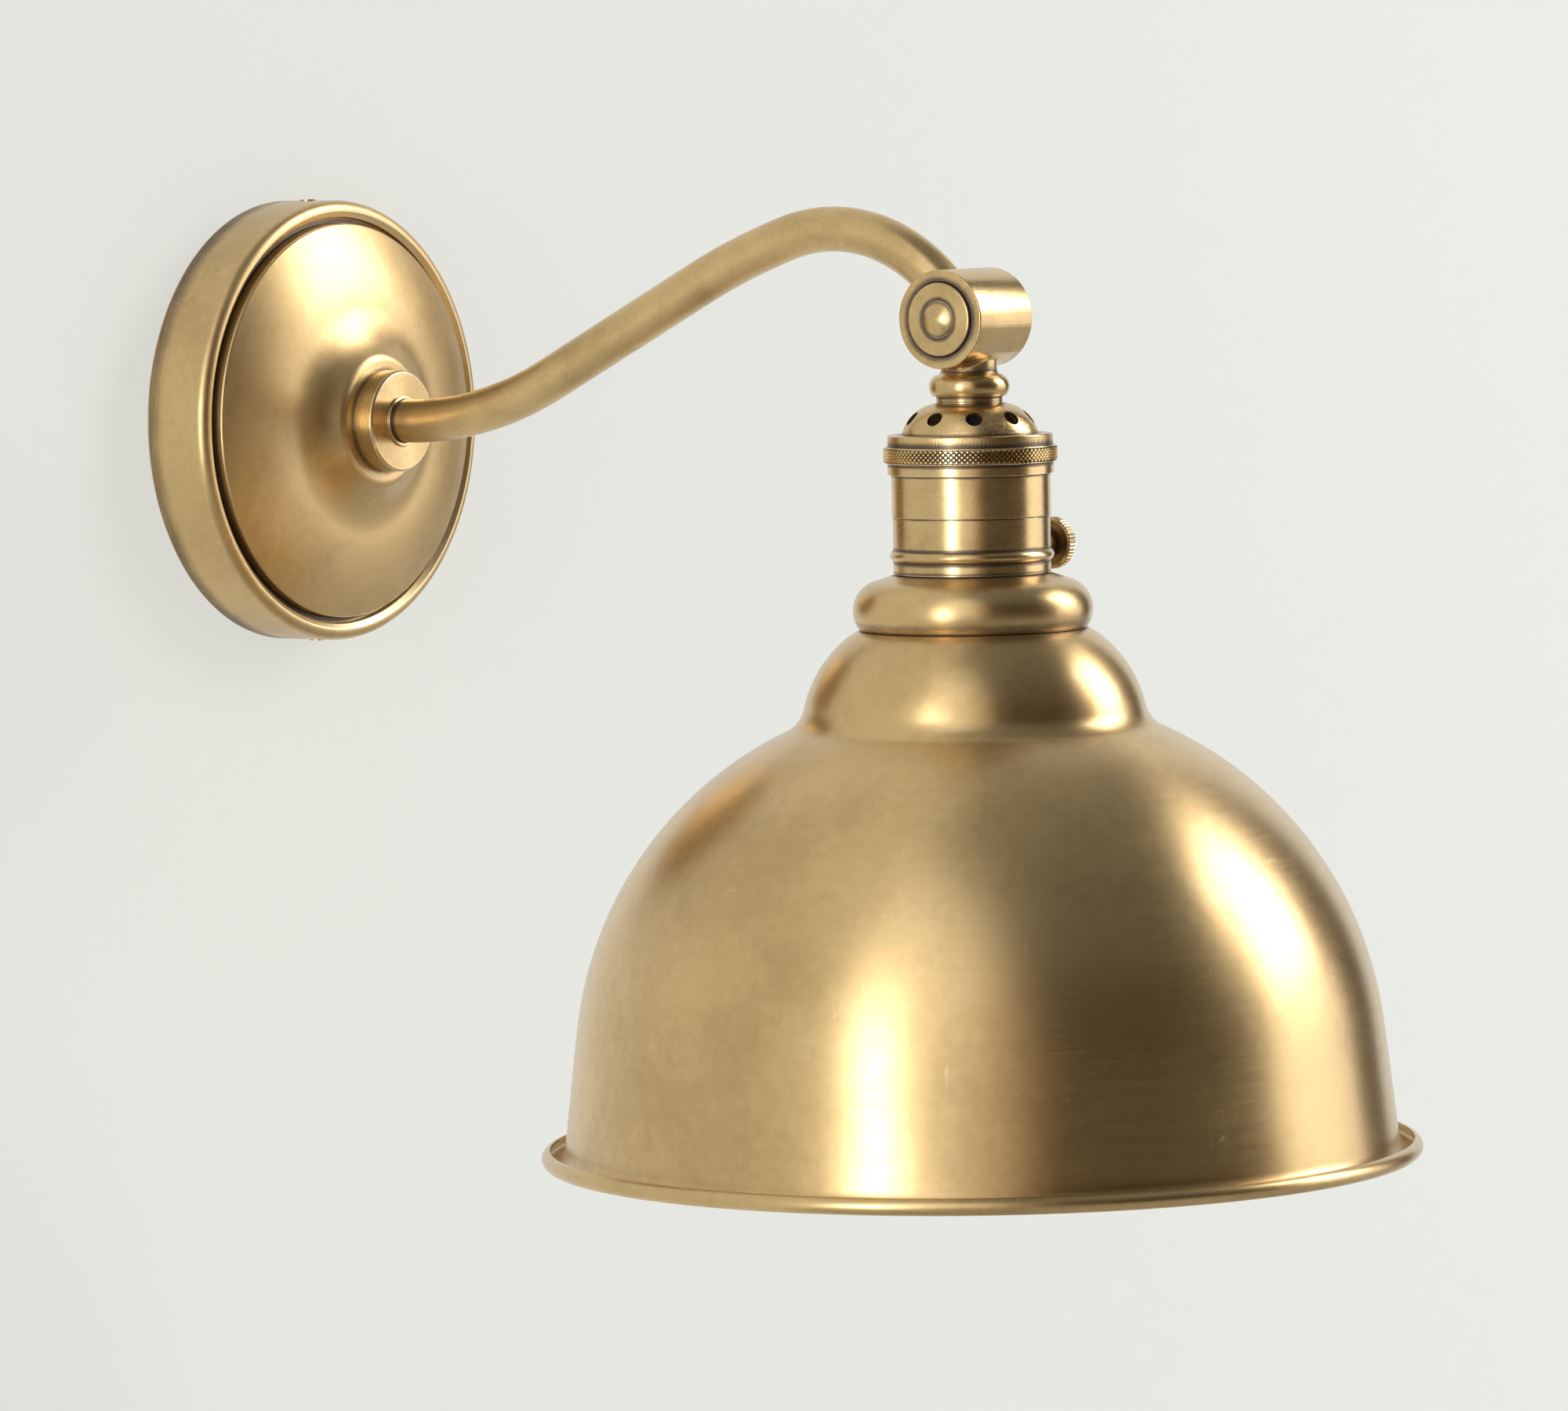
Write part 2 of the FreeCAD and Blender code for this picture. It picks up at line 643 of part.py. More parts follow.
def canopy_set_screws():
    """Two slotted set screws, through the top and the bottom of the drum into the crossbar's ears."""
    inner = s.canopy_radius - s.canopy_wall - s.bar_gap - s.bar_gauge
    outer = s.canopy_radius + s.set_screw_proud
    pair = []
    for name, up in (("upper", 1), ("lower", -1)):
        pin = primitive("Part::Cylinder", f"{name}_pin", Radius=s.set_screw, Height=outer - inner)
        notch = primitive("Part::Box", f"{name}_notch", Length=s.driver_slot, Width=s.set_screw * 2,
                          Height=s.driver_depth)
        if up < 0:
            turn(pin, (1, 0, 0), 180)
            turn(notch, (1, 0, 0), 180)
        place(pin, ZERO, -s.set_screw_place, up * inner)
        place(notch, -s.driver_slot / 2, -s.set_screw_place - up * s.set_screw, up * (outer - s.driver_depth))
        pair.append(taken(f"{name}_set_screw", pin, notch))
    group = doc.addObject("Part::Compound", "set_screw_pair")
    group.Links = pair
    finished(group, "canopy_set_screws")


def dome_heading():
    """Slope of the dome where it meets the groove."""
    return s.hub_steep - s.cove_turn + s.dome_turn


def canopy():
    hole = s.nipple + s.seat
    bends = [run(s.hub_flat - hole), bend(s.hub_round, -s.hub_steep), bend(s.cove_round, s.cove_turn),
             bend(s.dome_round, -s.dome_turn)]
    groove_out = s.canopy_radius - s.lip_width
    groove_in = groove_out - s.groove_width
    body = new_body("canopy", wall_frame)
    outline = Outline(new_sketch(body, "XZ_Plane", "outline"), hole, s.hub_face)
    outline.along(bent(ZERO, bends))
    outline.along(bent(-dome_heading(), [bend(s.dome_edge, dome_heading() - 90)]))
    outline.line(groove_in, s.groove_floor)
    outline.line(groove_out, s.groove_floor)
    outline.line(groove_out, s.drum_depth - s.lip_drop)
    outline.line(groove_out + s.lip_crest, s.drum_depth)
    outline.line(s.canopy_radius - s.drum_round, s.drum_depth)
    outline.arc(s.canopy_radius, s.drum_depth - s.drum_round, s.drum_round, RIGHT)
    outline.line(s.canopy_radius, ZERO)
    outline.line(s.canopy_radius - s.canopy_wall, ZERO)
    outline.line(s.canopy_radius - s.canopy_wall, s.groove_floor - s.canopy_wall)
    outline.line(groove_in - s.canopy_wall, s.groove_floor - s.canopy_wall)
    outline.back(bent(ZERO, bends, s.canopy_wall), hole, s.hub_face - s.canopy_wall)
    outline.close()
    revolve(body, outline.sketch)
    bore_round(body, "screw_holes", "XZ_Plane", ZERO, s.set_screw_place, s.set_screw + s.seat, both_ways=True)


def arm_fixing():
    """Nipple in the arm's end, with the washer and nut that draw it up inside the canopy."""
    inside = s.hub_face - s.canopy_wall
    turned_piece("arm_nipple", wall_frame, [
        (s.nipple_bore, s.nipple_inside),
        (s.nipple, s.nipple_inside),
        (s.nipple, s.nipple_end),
        (s.nipple_bore, s.nipple_end)])
    lock_washer("arm_lock_washer", wall_frame, inside - s.washer_gauge)
    nut("arm_locknut", wall_frame, ZERO, s.washer_gauge + s.nut_height - inside, ZERO)


def lock_washer(label, frame, level):
    """A split ring of rectangular section."""
    body = turned_piece(label, frame, [
        (s.nipple + s.seat, level),
        (s.washer, level),
        (s.washer, level + s.washer_gauge),
        (s.nipple + s.seat, level + s.washer_gauge)])
    sketch = new_sketch(body, "XY_Plane", "split")
    half = s.driver_slot / 2
    outline = Outline(sketch, -half, ZERO)
    outline.line(half, ZERO).line(half, s.washer * 2).line(-half, s.washer * 2).close()
    cut(body, sketch, "split", both_ways=True)


def nut(label, frame, x, y, z):
    """A hexagon nut whose lower face is at the given place."""
    block = primitive("Part::Prism", f"{label}_block", frame, Circumradius=s.nut, Height=s.nut_height)
    block.Polygon = 6
    place(block, x, y, z)
    hole = primitive("Part::Cylinder", f"{label}_hole", frame, Radius=s.nipple + s.seat, Height=s.nut_height)
    place(hole, x, y, z)
    finished(taken(f"{label}_cut", block, hole), label)


def arm_collar():
    face = s.hub_face + s.collar_height
    bore = s.arm + s.seat
    turned_piece("arm_collar", wall_frame, [
        (bore, s.hub_face),
        (s.collar, s.hub_face),
        (s.collar, face - s.collar_edge),
        (s.collar - s.collar_edge, face),
        (bore + s.collar_lip, face),
        (bore + s.collar_lip, face + s.collar_lip_height),
        (bore, face + s.collar_lip_height)])


def arm_path(body, name, first):
    """The arm's centre line, in the plane of height and distance from the wall."""
    top_turn = s.arm_rise + s.arm_fall - s.arm_crown_turn
    rise = 90 - s.arm_rise
    fall = 90 + s.arm_fall
    foot = bent(as_size(90.0), [run(first), bend(s.arm_foot_bend, -s.arm_rise)])
    crown = bent(rise, [bend(s.arm_crown_bend, s.arm_crown_turn), bend(s.arm_top_bend, top_turn)])
    end = (s.knuckle_height + s.arm_stop * sine(s.arm_fall), s.arm_reach - s.arm_stop * cosine(s.arm_fall))
    rest = [end[axis].value - sum(step[axis].value for step in foot + crown) for axis in (0, 1)]
    rest[1] -= s.hub_face.value
    up = (math.cos(math.radians(rise.value)), math.sin(math.radians(rise.value)))
    down = (math.cos(math.radians(fall.value)), math.sin(math.radians(fall.value)))
    area = up[0] * down[1] - up[1] * down[0]
    long_run = (rest[0] * down[1] - rest[1] * down[0]) / area
    last_run = (up[0] * rest[1] - up[1] * rest[0]) / area
    outline = Outline(new_sketch(body, "YZ_Plane", name), ZERO, s.hub_face)
    outline.along(foot).slope(long_run, rise).along(crown).slope(last_run, fall).pin(*end)
    return outline.draw()


def arm_tube():
    body = new_body("arm_tube", wall_frame)
    path = arm_path(body, "path", s.arm_start)
    edges = [f"Edge{number + 1}" for number in range(path.GeometryCount)]
    for kind, name, radius in (("PartDesign::AdditivePipe", "tube", s.arm),
                               ("PartDesign::SubtractivePipe", "bore", s.arm - s.arm_wall)):
        section = new_sketch(body, "XY_Plane", f"{name}_section")
        section.setExpression("AttachmentOffset.Base.z", s.hub_face.text)
        circle(section, ZERO, ZERO, radius)
        pipe = body.newObject(kind, name)
        pipe.Profile = section
        pipe.Spine = (path, edges)
        doc.recompute()


# The knuckle

def core_radius():
    return s.barrel - s.barrel_wall - s.running


def aim(sketch, azimuth, distance=ZERO):
    """Turn a sketch on the YZ plane to face along an azimuth about the frame's z."""
    sketch.AttachmentOffset = FreeCAD.Placement(FreeCAD.Vector(), FreeCAD.Rotation(FreeCAD.Vector(0, 1, 0), 1))
    bind(sketch, "AttachmentOffset.Rotation.Angle", azimuth)
    bind(sketch, "AttachmentOffset.Base.x", distance * sine(azimuth))
    bind(sketch, "AttachmentOffset.Base.z", distance * cosine(azimuth))


def pivot_core():
    """Drum brazed on the arm's end, which the barrel turns on."""
    near = s.barrel_near - s.end_gauge - s.running
    far = s.barrel_far - s.end_gauge - s.running
    body = turned_piece("pivot_core", pivot_frame, [
        (s.pivot_screw + s.running, -near),
        (core_radius(), -near),
        (core_radius(), far),
        (s.pivot_screw + s.running, far)])
    socket = new_sketch(body, "YZ_Plane", "arm_socket")
    aim(socket, 90 + s.arm_fall, s.arm_stop)
    circle(socket, ZERO, ZERO, s.arm + s.seat)
    cut(body, socket, "arm_socket", forwards=True)
    bore_round(body, "wire_way", "YZ_Plane", ZERO, s.wire_way_place, s.wire_way, both_ways=True)


def knuckle_barrel():
    """Barrel with the neck brazed under it, bored for the core and slotted for the arm."""
    body = turned_piece("knuckle_barrel", pivot_frame, [
        (ZERO, -s.barrel_near),
        (s.barrel - s.barrel_edge, -s.barrel_near),
        (s.barrel, s.barrel_edge - s.barrel_near, s.barrel_edge, LEFT),
        (s.barrel, s.barrel_far - s.barrel_edge),
        (s.barrel - s.barrel_edge, s.barrel_far, s.barrel_edge, LEFT),
        (ZERO, s.barrel_far)])
    stub = new_sketch(body, "YZ_Plane", "neck")
    circle(stub, ZERO, ZERO, s.neck)
    neck = body.newObject("PartDesign::Pad", "neck")
    neck.Profile = stub
    bind(neck, "Length", s.neck_end)
    doc.recompute()
    saddle = body.newObject("PartDesign::Fillet", "neck_fillet")
    saddle.Base = (neck, saddle_edges(neck.Shape))
    bind(saddle, "Radius", s.neck_round)

    bore = s.barrel - s.barrel_wall
    mouth = s.cap_disc + s.cap_gap
    hollow = Outline(new_sketch(body, "XZ_Plane", "hollow"), ZERO, -s.barrel_near)
    hollow.line(mouth, -s.barrel_near)
    hollow.line(mouth, s.end_gauge - s.barrel_near)
    hollow.line(bore, s.end_gauge - s.barrel_near)
    hollow.line(bore, s.barrel_far)
    hollow.line(ZERO, s.barrel_far)
    hollow.close()
    groove(body, hollow.sketch, "hollow", as_size(360.0))
    bore_round(body, "neck_bore", "YZ_Plane", ZERO, ZERO, s.nipple + s.seat)
    arm_slot(body, bore)


def saddle_edges(shape):
    """Names of the edges where the neck meets the barrel's round side."""
    names = []
    for number, edge in enumerate(shape.Edges, start=1):
        point = edge.valueAt((edge.FirstParameter + edge.LastParameter) / 2)
        on_neck = abs(math.hypot(point.y, point.z) - s.neck.value) < TOUCHING * 1000
        on_barrel = abs(math.hypot(point.x, point.y) - s.barrel.value) < TOUCHING * 1000
        if on_neck and on_barrel and point.x > 0:
            names.append(f"Edge{number}")
    return names


def groove(body, sketch, name, angle):
    doc.recompute()
    before = body.Shape.Volume
    feature = body.newObject("PartDesign::Groove", f"{body.Label}_{name}")
    feature.Profile = sketch
    feature.ReferenceAxis = (sketch, ["V_Axis"])
    bind(feature, "Angle", angle)
    doc.recompute()
    if body.Shape.Volume >= before:
        raise RuntimeError(f"{body.Label}: {name} cuts nothing")
    return feature


def arm_slot(body, bore):
    """Slot with round ends, as long as the tilt, that lets the arm through the barrel's wall."""
    half = s.arm + s.slot_side
    arm_azimuth = 90 + s.arm_fall
    first = arm_azimuth - s.tilt_in
    inside = bore / 2
    outside = s.barrel + 1
    sector = Outline(new_sketch(body, "XZ_Plane", "slot"), inside, -half)
    sector.line(outside, -half).line(outside, half).line(inside, half).close()
    sector.sketch.AttachmentOffset = FreeCAD.Placement(FreeCAD.Vector(),
                                                       FreeCAD.Rotation(FreeCAD.Vector(0, 1, 0), 1))
    bind(sector.sketch, "AttachmentOffset.Rotation.Angle", first)
    groove(body, sector.sketch, "slot", s.tilt_in + s.tilt_out)
    for name, azimuth in (("slot_inner_end", first), ("slot_outer_end", arm_azimuth + s.tilt_out)):
        end = new_sketch(body, "YZ_Plane", name)
        aim(end, azimuth)
        circle(end, ZERO, ZERO, half)
        cut(body, end, name, outside, forwards=True)


def knuckle_fittings():
    """Cap disc, spring washer, pivot screw and end plug, all on the knuckle's axis."""
    face = s.barrel_near + s.cap_proud
    disc_back = face - s.cap_gauge
    turned_piece("pivot_cap_disc", pivot_frame, [
        (s.pivot_screw + s.seat, -face),
        (s.cap_disc - s.cap_edge, -face),
        (s.cap_disc, s.cap_edge - face, s.cap_edge, LEFT),
        (s.cap_disc, -disc_back),
        (s.pivot_screw + s.seat, -disc_back)])
    turned_piece("pivot_spring_washer", pivot_frame, [
        (s.pivot_screw + s.seat, -disc_back),
        (s.cap_disc, -disc_back),
        (s.cap_disc, s.end_gauge - s.barrel_near),
        (s.pivot_screw + s.seat, s.end_gauge - s.barrel_near)])
    turned_piece("pivot_screw", pivot_frame, [
        (ZERO, -face - s.button_rise),
        (s.button, -face, s.button_round, LEFT),
        (s.pivot_screw, -face),
        (s.pivot_screw, s.barrel_far - s.plug_recess),
        (ZERO, s.barrel_far - s.plug_recess)])
    plug = s.barrel - s.barrel_wall - s.seat
    turned_piece("barrel_end_plug", pivot_frame, [
        (s.pivot_screw + s.seat, s.barrel_far - s.end_gauge),
        (plug, s.barrel_far - s.end_gauge),
        (plug, s.barrel_far - s.plug_recess),
        (s.pivot_screw + s.seat, s.barrel_far - s.plug_recess)])


# Coupling and socket cap

def neck_coupling():
    bore = s.nipple + s.seat
    turned_piece("neck_coupling", head_frame, [
        (bore, -s.neck_end),
        (s.neck, -s.neck_end),
        (s.bead_top, -s.bead_top_level, s.bead_hollow, LEFT),
        (s.bead, -s.bead_level, s.bead_upper_round, RIGHT),
        (s.bead_foot, -s.bead_foot_level, s.bead_lower_round, RIGHT),
        (s.coupling_foot, -s.bead_foot_level),
        (s.coupling_foot, -s.cap_top),
        (bore, -s.cap_top)])


def cap_fixing():
    """Nipple through the coupling and the cap, with its washer and nut under the cap."""
    washer_top = s.cap_top + s.cap_wall
    nut_top = washer_top + s.washer_gauge
    turned_piece("cap_nipple", head_frame, [
        (s.nipple_bore, -s.cap_nipple_top),
        (s.nipple, -s.cap_nipple_top),
        (s.nipple, -(nut_top + s.nut_height + s.cap_nipple_spare)),
        (s.nipple_bore, -(nut_top + s.nut_height + s.cap_nipple_spare))])
    lock_washer("cap_lock_washer", head_frame, -nut_top)
    nut("cap_locknut", head_frame, ZERO, -s.arm_reach, s.knuckle_height - nut_top - s.nut_height)


def socket_cap():
    """Domed cap with a ring of vent holes over a short skirt."""
    hole = s.nipple + s.seat
    body = turned_piece("socket_cap", head_frame, [
        (hole, -s.cap_top),
        (s.cap_flat, -s.cap_top),
        (s.cap_dome, -s.flange_level, s.cap_dome_round, RIGHT),
        (s.flange - s.flange_edge, -s.flange_level),
        (s.flange, -s.flange_level - s.flange_edge, s.flange_edge, RIGHT),
        (s.flange, -s.flange_foot),
        (s.flange - s.cap_wall, -s.flange_foot),
        (s.flange - s.cap_wall, -s.flange_level - s.cap_wall),
        (s.cap_dome - s.cap_wall, -s.flange_level - s.cap_wall),
        (s.cap_flat, -s.cap_top - s.cap_wall, s.cap_dome_round - s.cap_wall, LEFT),
        (hole, -s.cap_top - s.cap_wall)])
    sketch = new_sketch(body, "XY_Plane", "vent")
    sketch.AttachmentOffset = FreeCAD.Placement(FreeCAD.Vector(), FreeCAD.Rotation(FreeCAD.Vector(0, 1, 0), 1))
    bind(sketch, "AttachmentOffset.Rotation.Angle", 90 - s.vent_lean)
    bind(sketch, "AttachmentOffset.Base.x", s.vent_place)
    bind(sketch, "AttachmentOffset.Base.z", -s.vent_level)
    circle(sketch, ZERO, ZERO, s.vent)
    pocket = cut(body, sketch, "vent", s.cap_wall * 5, both_ways=True)
    ring = body.newObject("PartDesign::PolarPattern", "vents")
    ring.Originals = [pocket]
    ring.Axis = (next(item for item in body.Origin.OriginFeatures if item.Role == "Z_Axis"), [""])
    ring.Angle = 360.0
    ring.Occurrences = int(s.vent_count.value)
    bind(ring, "Occurrences", s.vent_count)
    body.Tip = ring
    body.Placement = FreeCAD.Placement(FreeCAD.Vector(), FreeCAD.Rotation(FreeCAD.Vector(0, 0, 1), 1))
    bind(body, "Placement.Rotation.Angle", s.vent_turn)


# Socket

def knurled_ring():
    bore = s.shell + s.seat
    turned_piece("knurled_ring", head_frame, [
        (bore, -s.flange_foot),
        (s.ring - s.ring_edge, -s.flange_foot),
        (s.ring, -s.flange_foot - s.ring_edge),
        (s.ring, s.ring_edge - s.ring_foot),
        (s.ring - s.ring_edge, -s.ring_foot),
        (s.ring_skirt, -s.ring_foot),
        (s.ring_skirt, -s.skirt_foot),
        (bore, -s.skirt_foot)])


def socket_shell():
    turned_piece("socket_shell", head_frame, [
        (s.shell - s.shell_wall, -s.shell_top),
        (s.shell, -s.shell_top),
        (s.shell, -s.shell_foot),
        (s.shell - s.shell_wall, -s.shell_foot)])
    outside = s.shell - s.shell_wall - s.seat
    turned_piece("insulating_liner", head_frame, [
        (outside - s.liner_wall, -s.holder_top),
        (outside, -s.holder_top),
        (outside, s.spigot_length - s.shell_foot + s.seat),
        (outside - s.liner_wall, s.spigot_length - s.shell_foot + s.seat)])


def lower_sleeve():
    """Sleeve below the seam: spigot, rolled rib, shoulder and the thread that carries the shade."""
    spigot = s.shell - s.shell_wall - s.seat
    seam = s.shell_foot + s.sleeve_seam
    body = turned_piece("lower_sleeve", head_frame, [
        (s.sleeve_bore, s.spigot_length - s.shell_foot),
        (spigot, s.spigot_length - s.shell_foot),
        (spigot, -seam),
        (s.sleeve, -seam),
        (s.sleeve, -s.rib_top),
        (s.rib, -(s.rib_top + s.rib_foot) / 2, s.rib_round, RIGHT),
        (s.sleeve, -s.rib_foot, s.rib_round, RIGHT),
        (s.sleeve, -s.shoulder_level),
        (s.thread, -s.shoulder_level),
        (s.thread, -s.sleeve_foot),
        (s.sleeve_bore, -s.sleeve_foot)])
    bore_round(body, "bushing_hole", "YZ_Plane", ZERO, -s.switch_level, s.bushing + s.seat)


def lampholder_body():
    """Moulded insulator: solid switch block above, cup for the lamp's screw shell below."""
    outside = s.sleeve_bore - s.seat
    cup = s.lamp_bore + s.lamp_shell_wall + s.seat
    body = turned_piece("lampholder_body", head_frame, [
        (ZERO, -s.holder_top),
        (outside, -s.holder_top),
        (outside, -s.holder_foot),
        (cup, -s.holder_foot),
        (cup, -s.holder_floor),
        (ZERO, -s.holder_floor)])
    for name, start, radius in (("spindle_way", s.spindle_root - s.running, s.spindle + s.running),
                                ("bushing_seat", s.bushing_root - s.seat, s.bushing + s.seat)):
        sketch = new_sketch(body, "YZ_Plane", name)
        bind(sketch, "AttachmentOffset.Base.z", start)
        circle(sketch, ZERO, -s.switch_level, radius)
        cut(body, sketch, name, forwards=True)


def lamp_contacts():
    """Screw shell and centre contact that a screw lamp meets."""
    top = s.holder_floor + s.seat
    outside = s.lamp_bore + s.lamp_shell_wall
    turned_piece("lamp_screw_shell", head_frame, [
        (s.contact * 2, -top),
        (outside, -top),
        (outside, -s.holder_foot),
        (s.lamp_bore, -s.holder_foot),
        (s.lamp_bore, -top - s.lamp_shell_wall),
        (s.contact * 2, -top - s.lamp_shell_wall)])
    turned_piece("centre_contact", head_frame, [
        (ZERO, -top),
        (s.contact / 2, -top),
        (s.contact / 2, s.contact_gauge - top - s.contact_rise),
        (s.contact, s.contact_gauge - top - s.contact_rise),
        (s.contact, -top - s.contact_rise),
        (ZERO, -top - s.contact_rise)])


def terminal_screws():
    """Two slotted binding screws on top of the lampholder."""
    pair = []
    for name, side in (("live", 1), ("neutral", -1)):
        head = primitive("Part::Cylinder", f"{name}_head", Radius=s.terminal, Height=s.terminal_height)
        place(head, side * s.terminal_place, -s.arm_reach, s.knuckle_height - s.holder_top)
        notch = primitive("Part::Box", f"{name}_notch", Length=s.terminal * 2, Width=s.driver_slot,
                          Height=s.driver_depth)
        place(notch, side * s.terminal_place - s.terminal, -s.arm_reach - s.driver_slot / 2,
              s.knuckle_height - s.holder_top + s.terminal_height - s.driver_depth)
        pair.append(taken(f"{name}_screw", head, notch))
    group = doc.addObject("Part::Compound", "terminal_pair")
    group.Links = pair
    finished(group, "terminal_screws")


# Turn switch

def switch():
    turned_piece("switch_bushing", switch_frame, [
        (s.spindle + s.running, s.bushing_root),
        (s.bushing, s.bushing_root),
        (s.bushing, s.bushing_end),
        (s.spindle + s.running, s.bushing_end)])
    turned_piece("bushing_nut", switch_frame, [
        (s.bushing + s.seat, s.rib + s.seat),
        (s.bushing_nut, s.rib + s.seat),
        (s.bushing_nut, s.rib + s.seat + s.bushing_nut_gauge),
        (s.bushing + s.seat, s.rib + s.seat + s.bushing_nut_gauge)])
    outer = s.knob_start + s.knob_gauge
    turned_piece("switch_spindle", switch_frame, [
        (ZERO, s.spindle_root),
        (s.spindle, s.spindle_root),
        (s.spindle, outer - s.knob_edge),
        (ZERO, outer - s.knob_edge)])
    turned_piece("turn_knob", switch_frame, [
        (s.spindle + s.seat, s.knob_start - s.knob_hub_length),
        (s.knob_hub, s.knob_start - s.knob_hub_length),
        (s.knob_hub, s.knob_start),
        (s.knob - s.knob_edge, s.knob_start),
        (s.knob, s.knob_start + s.knob_edge),
        (s.knob, outer - s.knob_edge),
        (s.knob - s.knob_edge, outer),
        (s.spindle + s.seat, outer)])


# Shade

def shade_neck_ring():
    hole = s.thread + s.seat
    foot = s.shade_top - s.seat
    inner_round = s.neck_ring_round - s.neck_ring_wall
    turned_piece("shade_neck_ring", head_frame, [
        (hole, -s.shoulder_level),
        (s.neck_ring_slope, -s.neck_ring_slope_level),
        (s.neck_ring, -s.neck_ring_level, s.neck_ring_round, RIGHT),
        (s.neck_ring_foot, -foot, s.neck_ring_round, RIGHT),
        (s.neck_ring_foot - s.neck_ring_wall, -foot),
        (s.neck_ring - s.neck_ring_wall, -s.neck_ring_level, inner_round, LEFT),
        (s.neck_ring_slope - s.neck_ring_wall / 3, -s.neck_ring_slope_level - s.neck_ring_wall,
         inner_round, LEFT),
        (hole, -s.shoulder_level - s.neck_ring_wall)])


def shade():
    """Spun bell: flat top, small dome, crease, large dome, flared foot and open rolled edge."""
    hole = s.thread + s.seat
    bends = [run(s.crown_flat - hole),
             bend(s.crown_edge, -s.crown_start),
             bend(s.crown_round, -s.crown_round_turn),
             bend(s.crown_side, -s.crown_side_turn),
             bend(s.crease, s.crease_turn),
             bend(s.bell_round, -s.bell_turn),
             bend(s.bell_side, -s.bell_side_turn),
             run(s.bell_skirt),
             bend(s.flare, s.flare_turn),
             bend(s.curl, s.curl_turn),
             bend(s.curl, s.curl_turn)]
    body = new_body("shade", head_frame)
    outline = Outline(new_sketch(body, "XZ_Plane", "outline"), hole, -s.shade_top)
    outline.along(bent(ZERO, bends))
    outline.back(bent(ZERO, bends, s.shade_wall), hole, -s.shade_top - s.shade_wall)
    outline.close()
    revolve(body, outline.sketch)


def shade_clamp_ring():
    hole = s.thread + s.seat
    top = s.shade_top + s.shade_wall + s.seat
    foot = top + s.clamp_ring_height
    turned_piece("shade_clamp_ring", head_frame, [
        (hole, -top),
        (s.clamp_ring, -top),
        (s.clamp_ring, s.clamp_ring_edge - foot),
        (s.clamp_ring - s.clamp_ring_edge, -foot),
        (hole, -foot)])


def check():
    """Stop if any object failed or any piece is not a valid solid."""
    for item in doc.Objects:
        if "Invalid" in item.State or "Error" in item.State:
            raise RuntimeError(f"{item.Label}: {item.State}")
    for piece in parts:
        shape = piece.Shape
        if shape.isNull() or not shape.isValid() or not shape.Solids:
            raise RuntimeError(f"{piece.Label}: no valid solid")


def main():
    mounting_bracket()
    ground_screw()
    canopy_set_screws()
    canopy()
    arm_fixing()
    arm_collar()
    arm_tube()
    pivot_core()
    knuckle_barrel()
    knuckle_fittings()
    neck_coupling()
    cap_fixing()
    socket_cap()
    knurled_ring()
    socket_shell()
    lower_sleeve()
    lampholder_body()
    lamp_contacts()
    terminal_screws()
    switch()
    shade_neck_ring()
    shade()
    shade_clamp_ring()
    doc.recompute()
    check()
    os.makedirs("parts", exist_ok=True)
    for piece in parts:
        piece.Shape.exportStep(os.path.join("parts", f"{piece.Label}.step"))
        print(piece.Label, len(piece.Shape.Solids), round(piece.Shape.Volume, 1))


main()
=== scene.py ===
import math
import bmesh
import bpy
from functools import partialmethod
from mathutils import Matrix, Vector
from mathutils.bvhtree import BVHTree


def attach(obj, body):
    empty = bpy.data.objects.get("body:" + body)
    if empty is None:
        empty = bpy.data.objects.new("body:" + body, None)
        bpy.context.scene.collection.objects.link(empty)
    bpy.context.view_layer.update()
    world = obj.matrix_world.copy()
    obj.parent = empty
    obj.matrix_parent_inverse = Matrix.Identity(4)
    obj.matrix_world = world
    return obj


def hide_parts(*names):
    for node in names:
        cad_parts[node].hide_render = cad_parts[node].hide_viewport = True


# Gooseneck wall sconce in aged brass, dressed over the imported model.
# Blender's lengths are metres. Profiles, axes and names that end in _mm are millimetres, and a
# profile's points are (radius, height). The wall is the plane Y = 0, and the light stands out
# from it towards -Y.

bl_info = {
    "name": "Gooseneck wall sconce",
    "version": (1, 0, 0),
    "blender": (4, 5, 0),
    "location": "View3D > Sidebar > Sconce",
    "description": "Builds the brass, glaze and light of a gooseneck wall sconce",
    "category": "Object",
}

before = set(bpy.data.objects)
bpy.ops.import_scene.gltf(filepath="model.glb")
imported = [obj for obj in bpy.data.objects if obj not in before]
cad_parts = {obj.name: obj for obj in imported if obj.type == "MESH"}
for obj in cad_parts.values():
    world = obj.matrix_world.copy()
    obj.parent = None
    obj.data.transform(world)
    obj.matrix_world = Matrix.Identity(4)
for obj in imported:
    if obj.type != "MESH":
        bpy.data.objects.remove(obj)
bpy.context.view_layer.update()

MM = 0.001
REACH_MM = 213.5        # from the wall to the knuckle's axis
KNUCKLE_MM = 26.4       # from the canopy's middle up to the knuckle's axis
SWITCH_MM = -30.3       # from the canopy's middle down to the switch's axis
TUBE_MM = 5.55          # the arm's radius
LEFT = 1
RIGHT = -1
ARC_STEP_MM = 1.5       # longest step along an arc of a profile
POLE_MM = 1e-6          # a radius below this is on the axis
CORNER_DEG = 18         # a corner sharper than this gets a small edge
CORNER_STEPS = 4
FULL_EDGE = 0.45        # share of a side that one edge may take

BASE_BODY = "wall_arm"
HEAD_BODY = "shade_head"
KNOB_BODY = "knob"

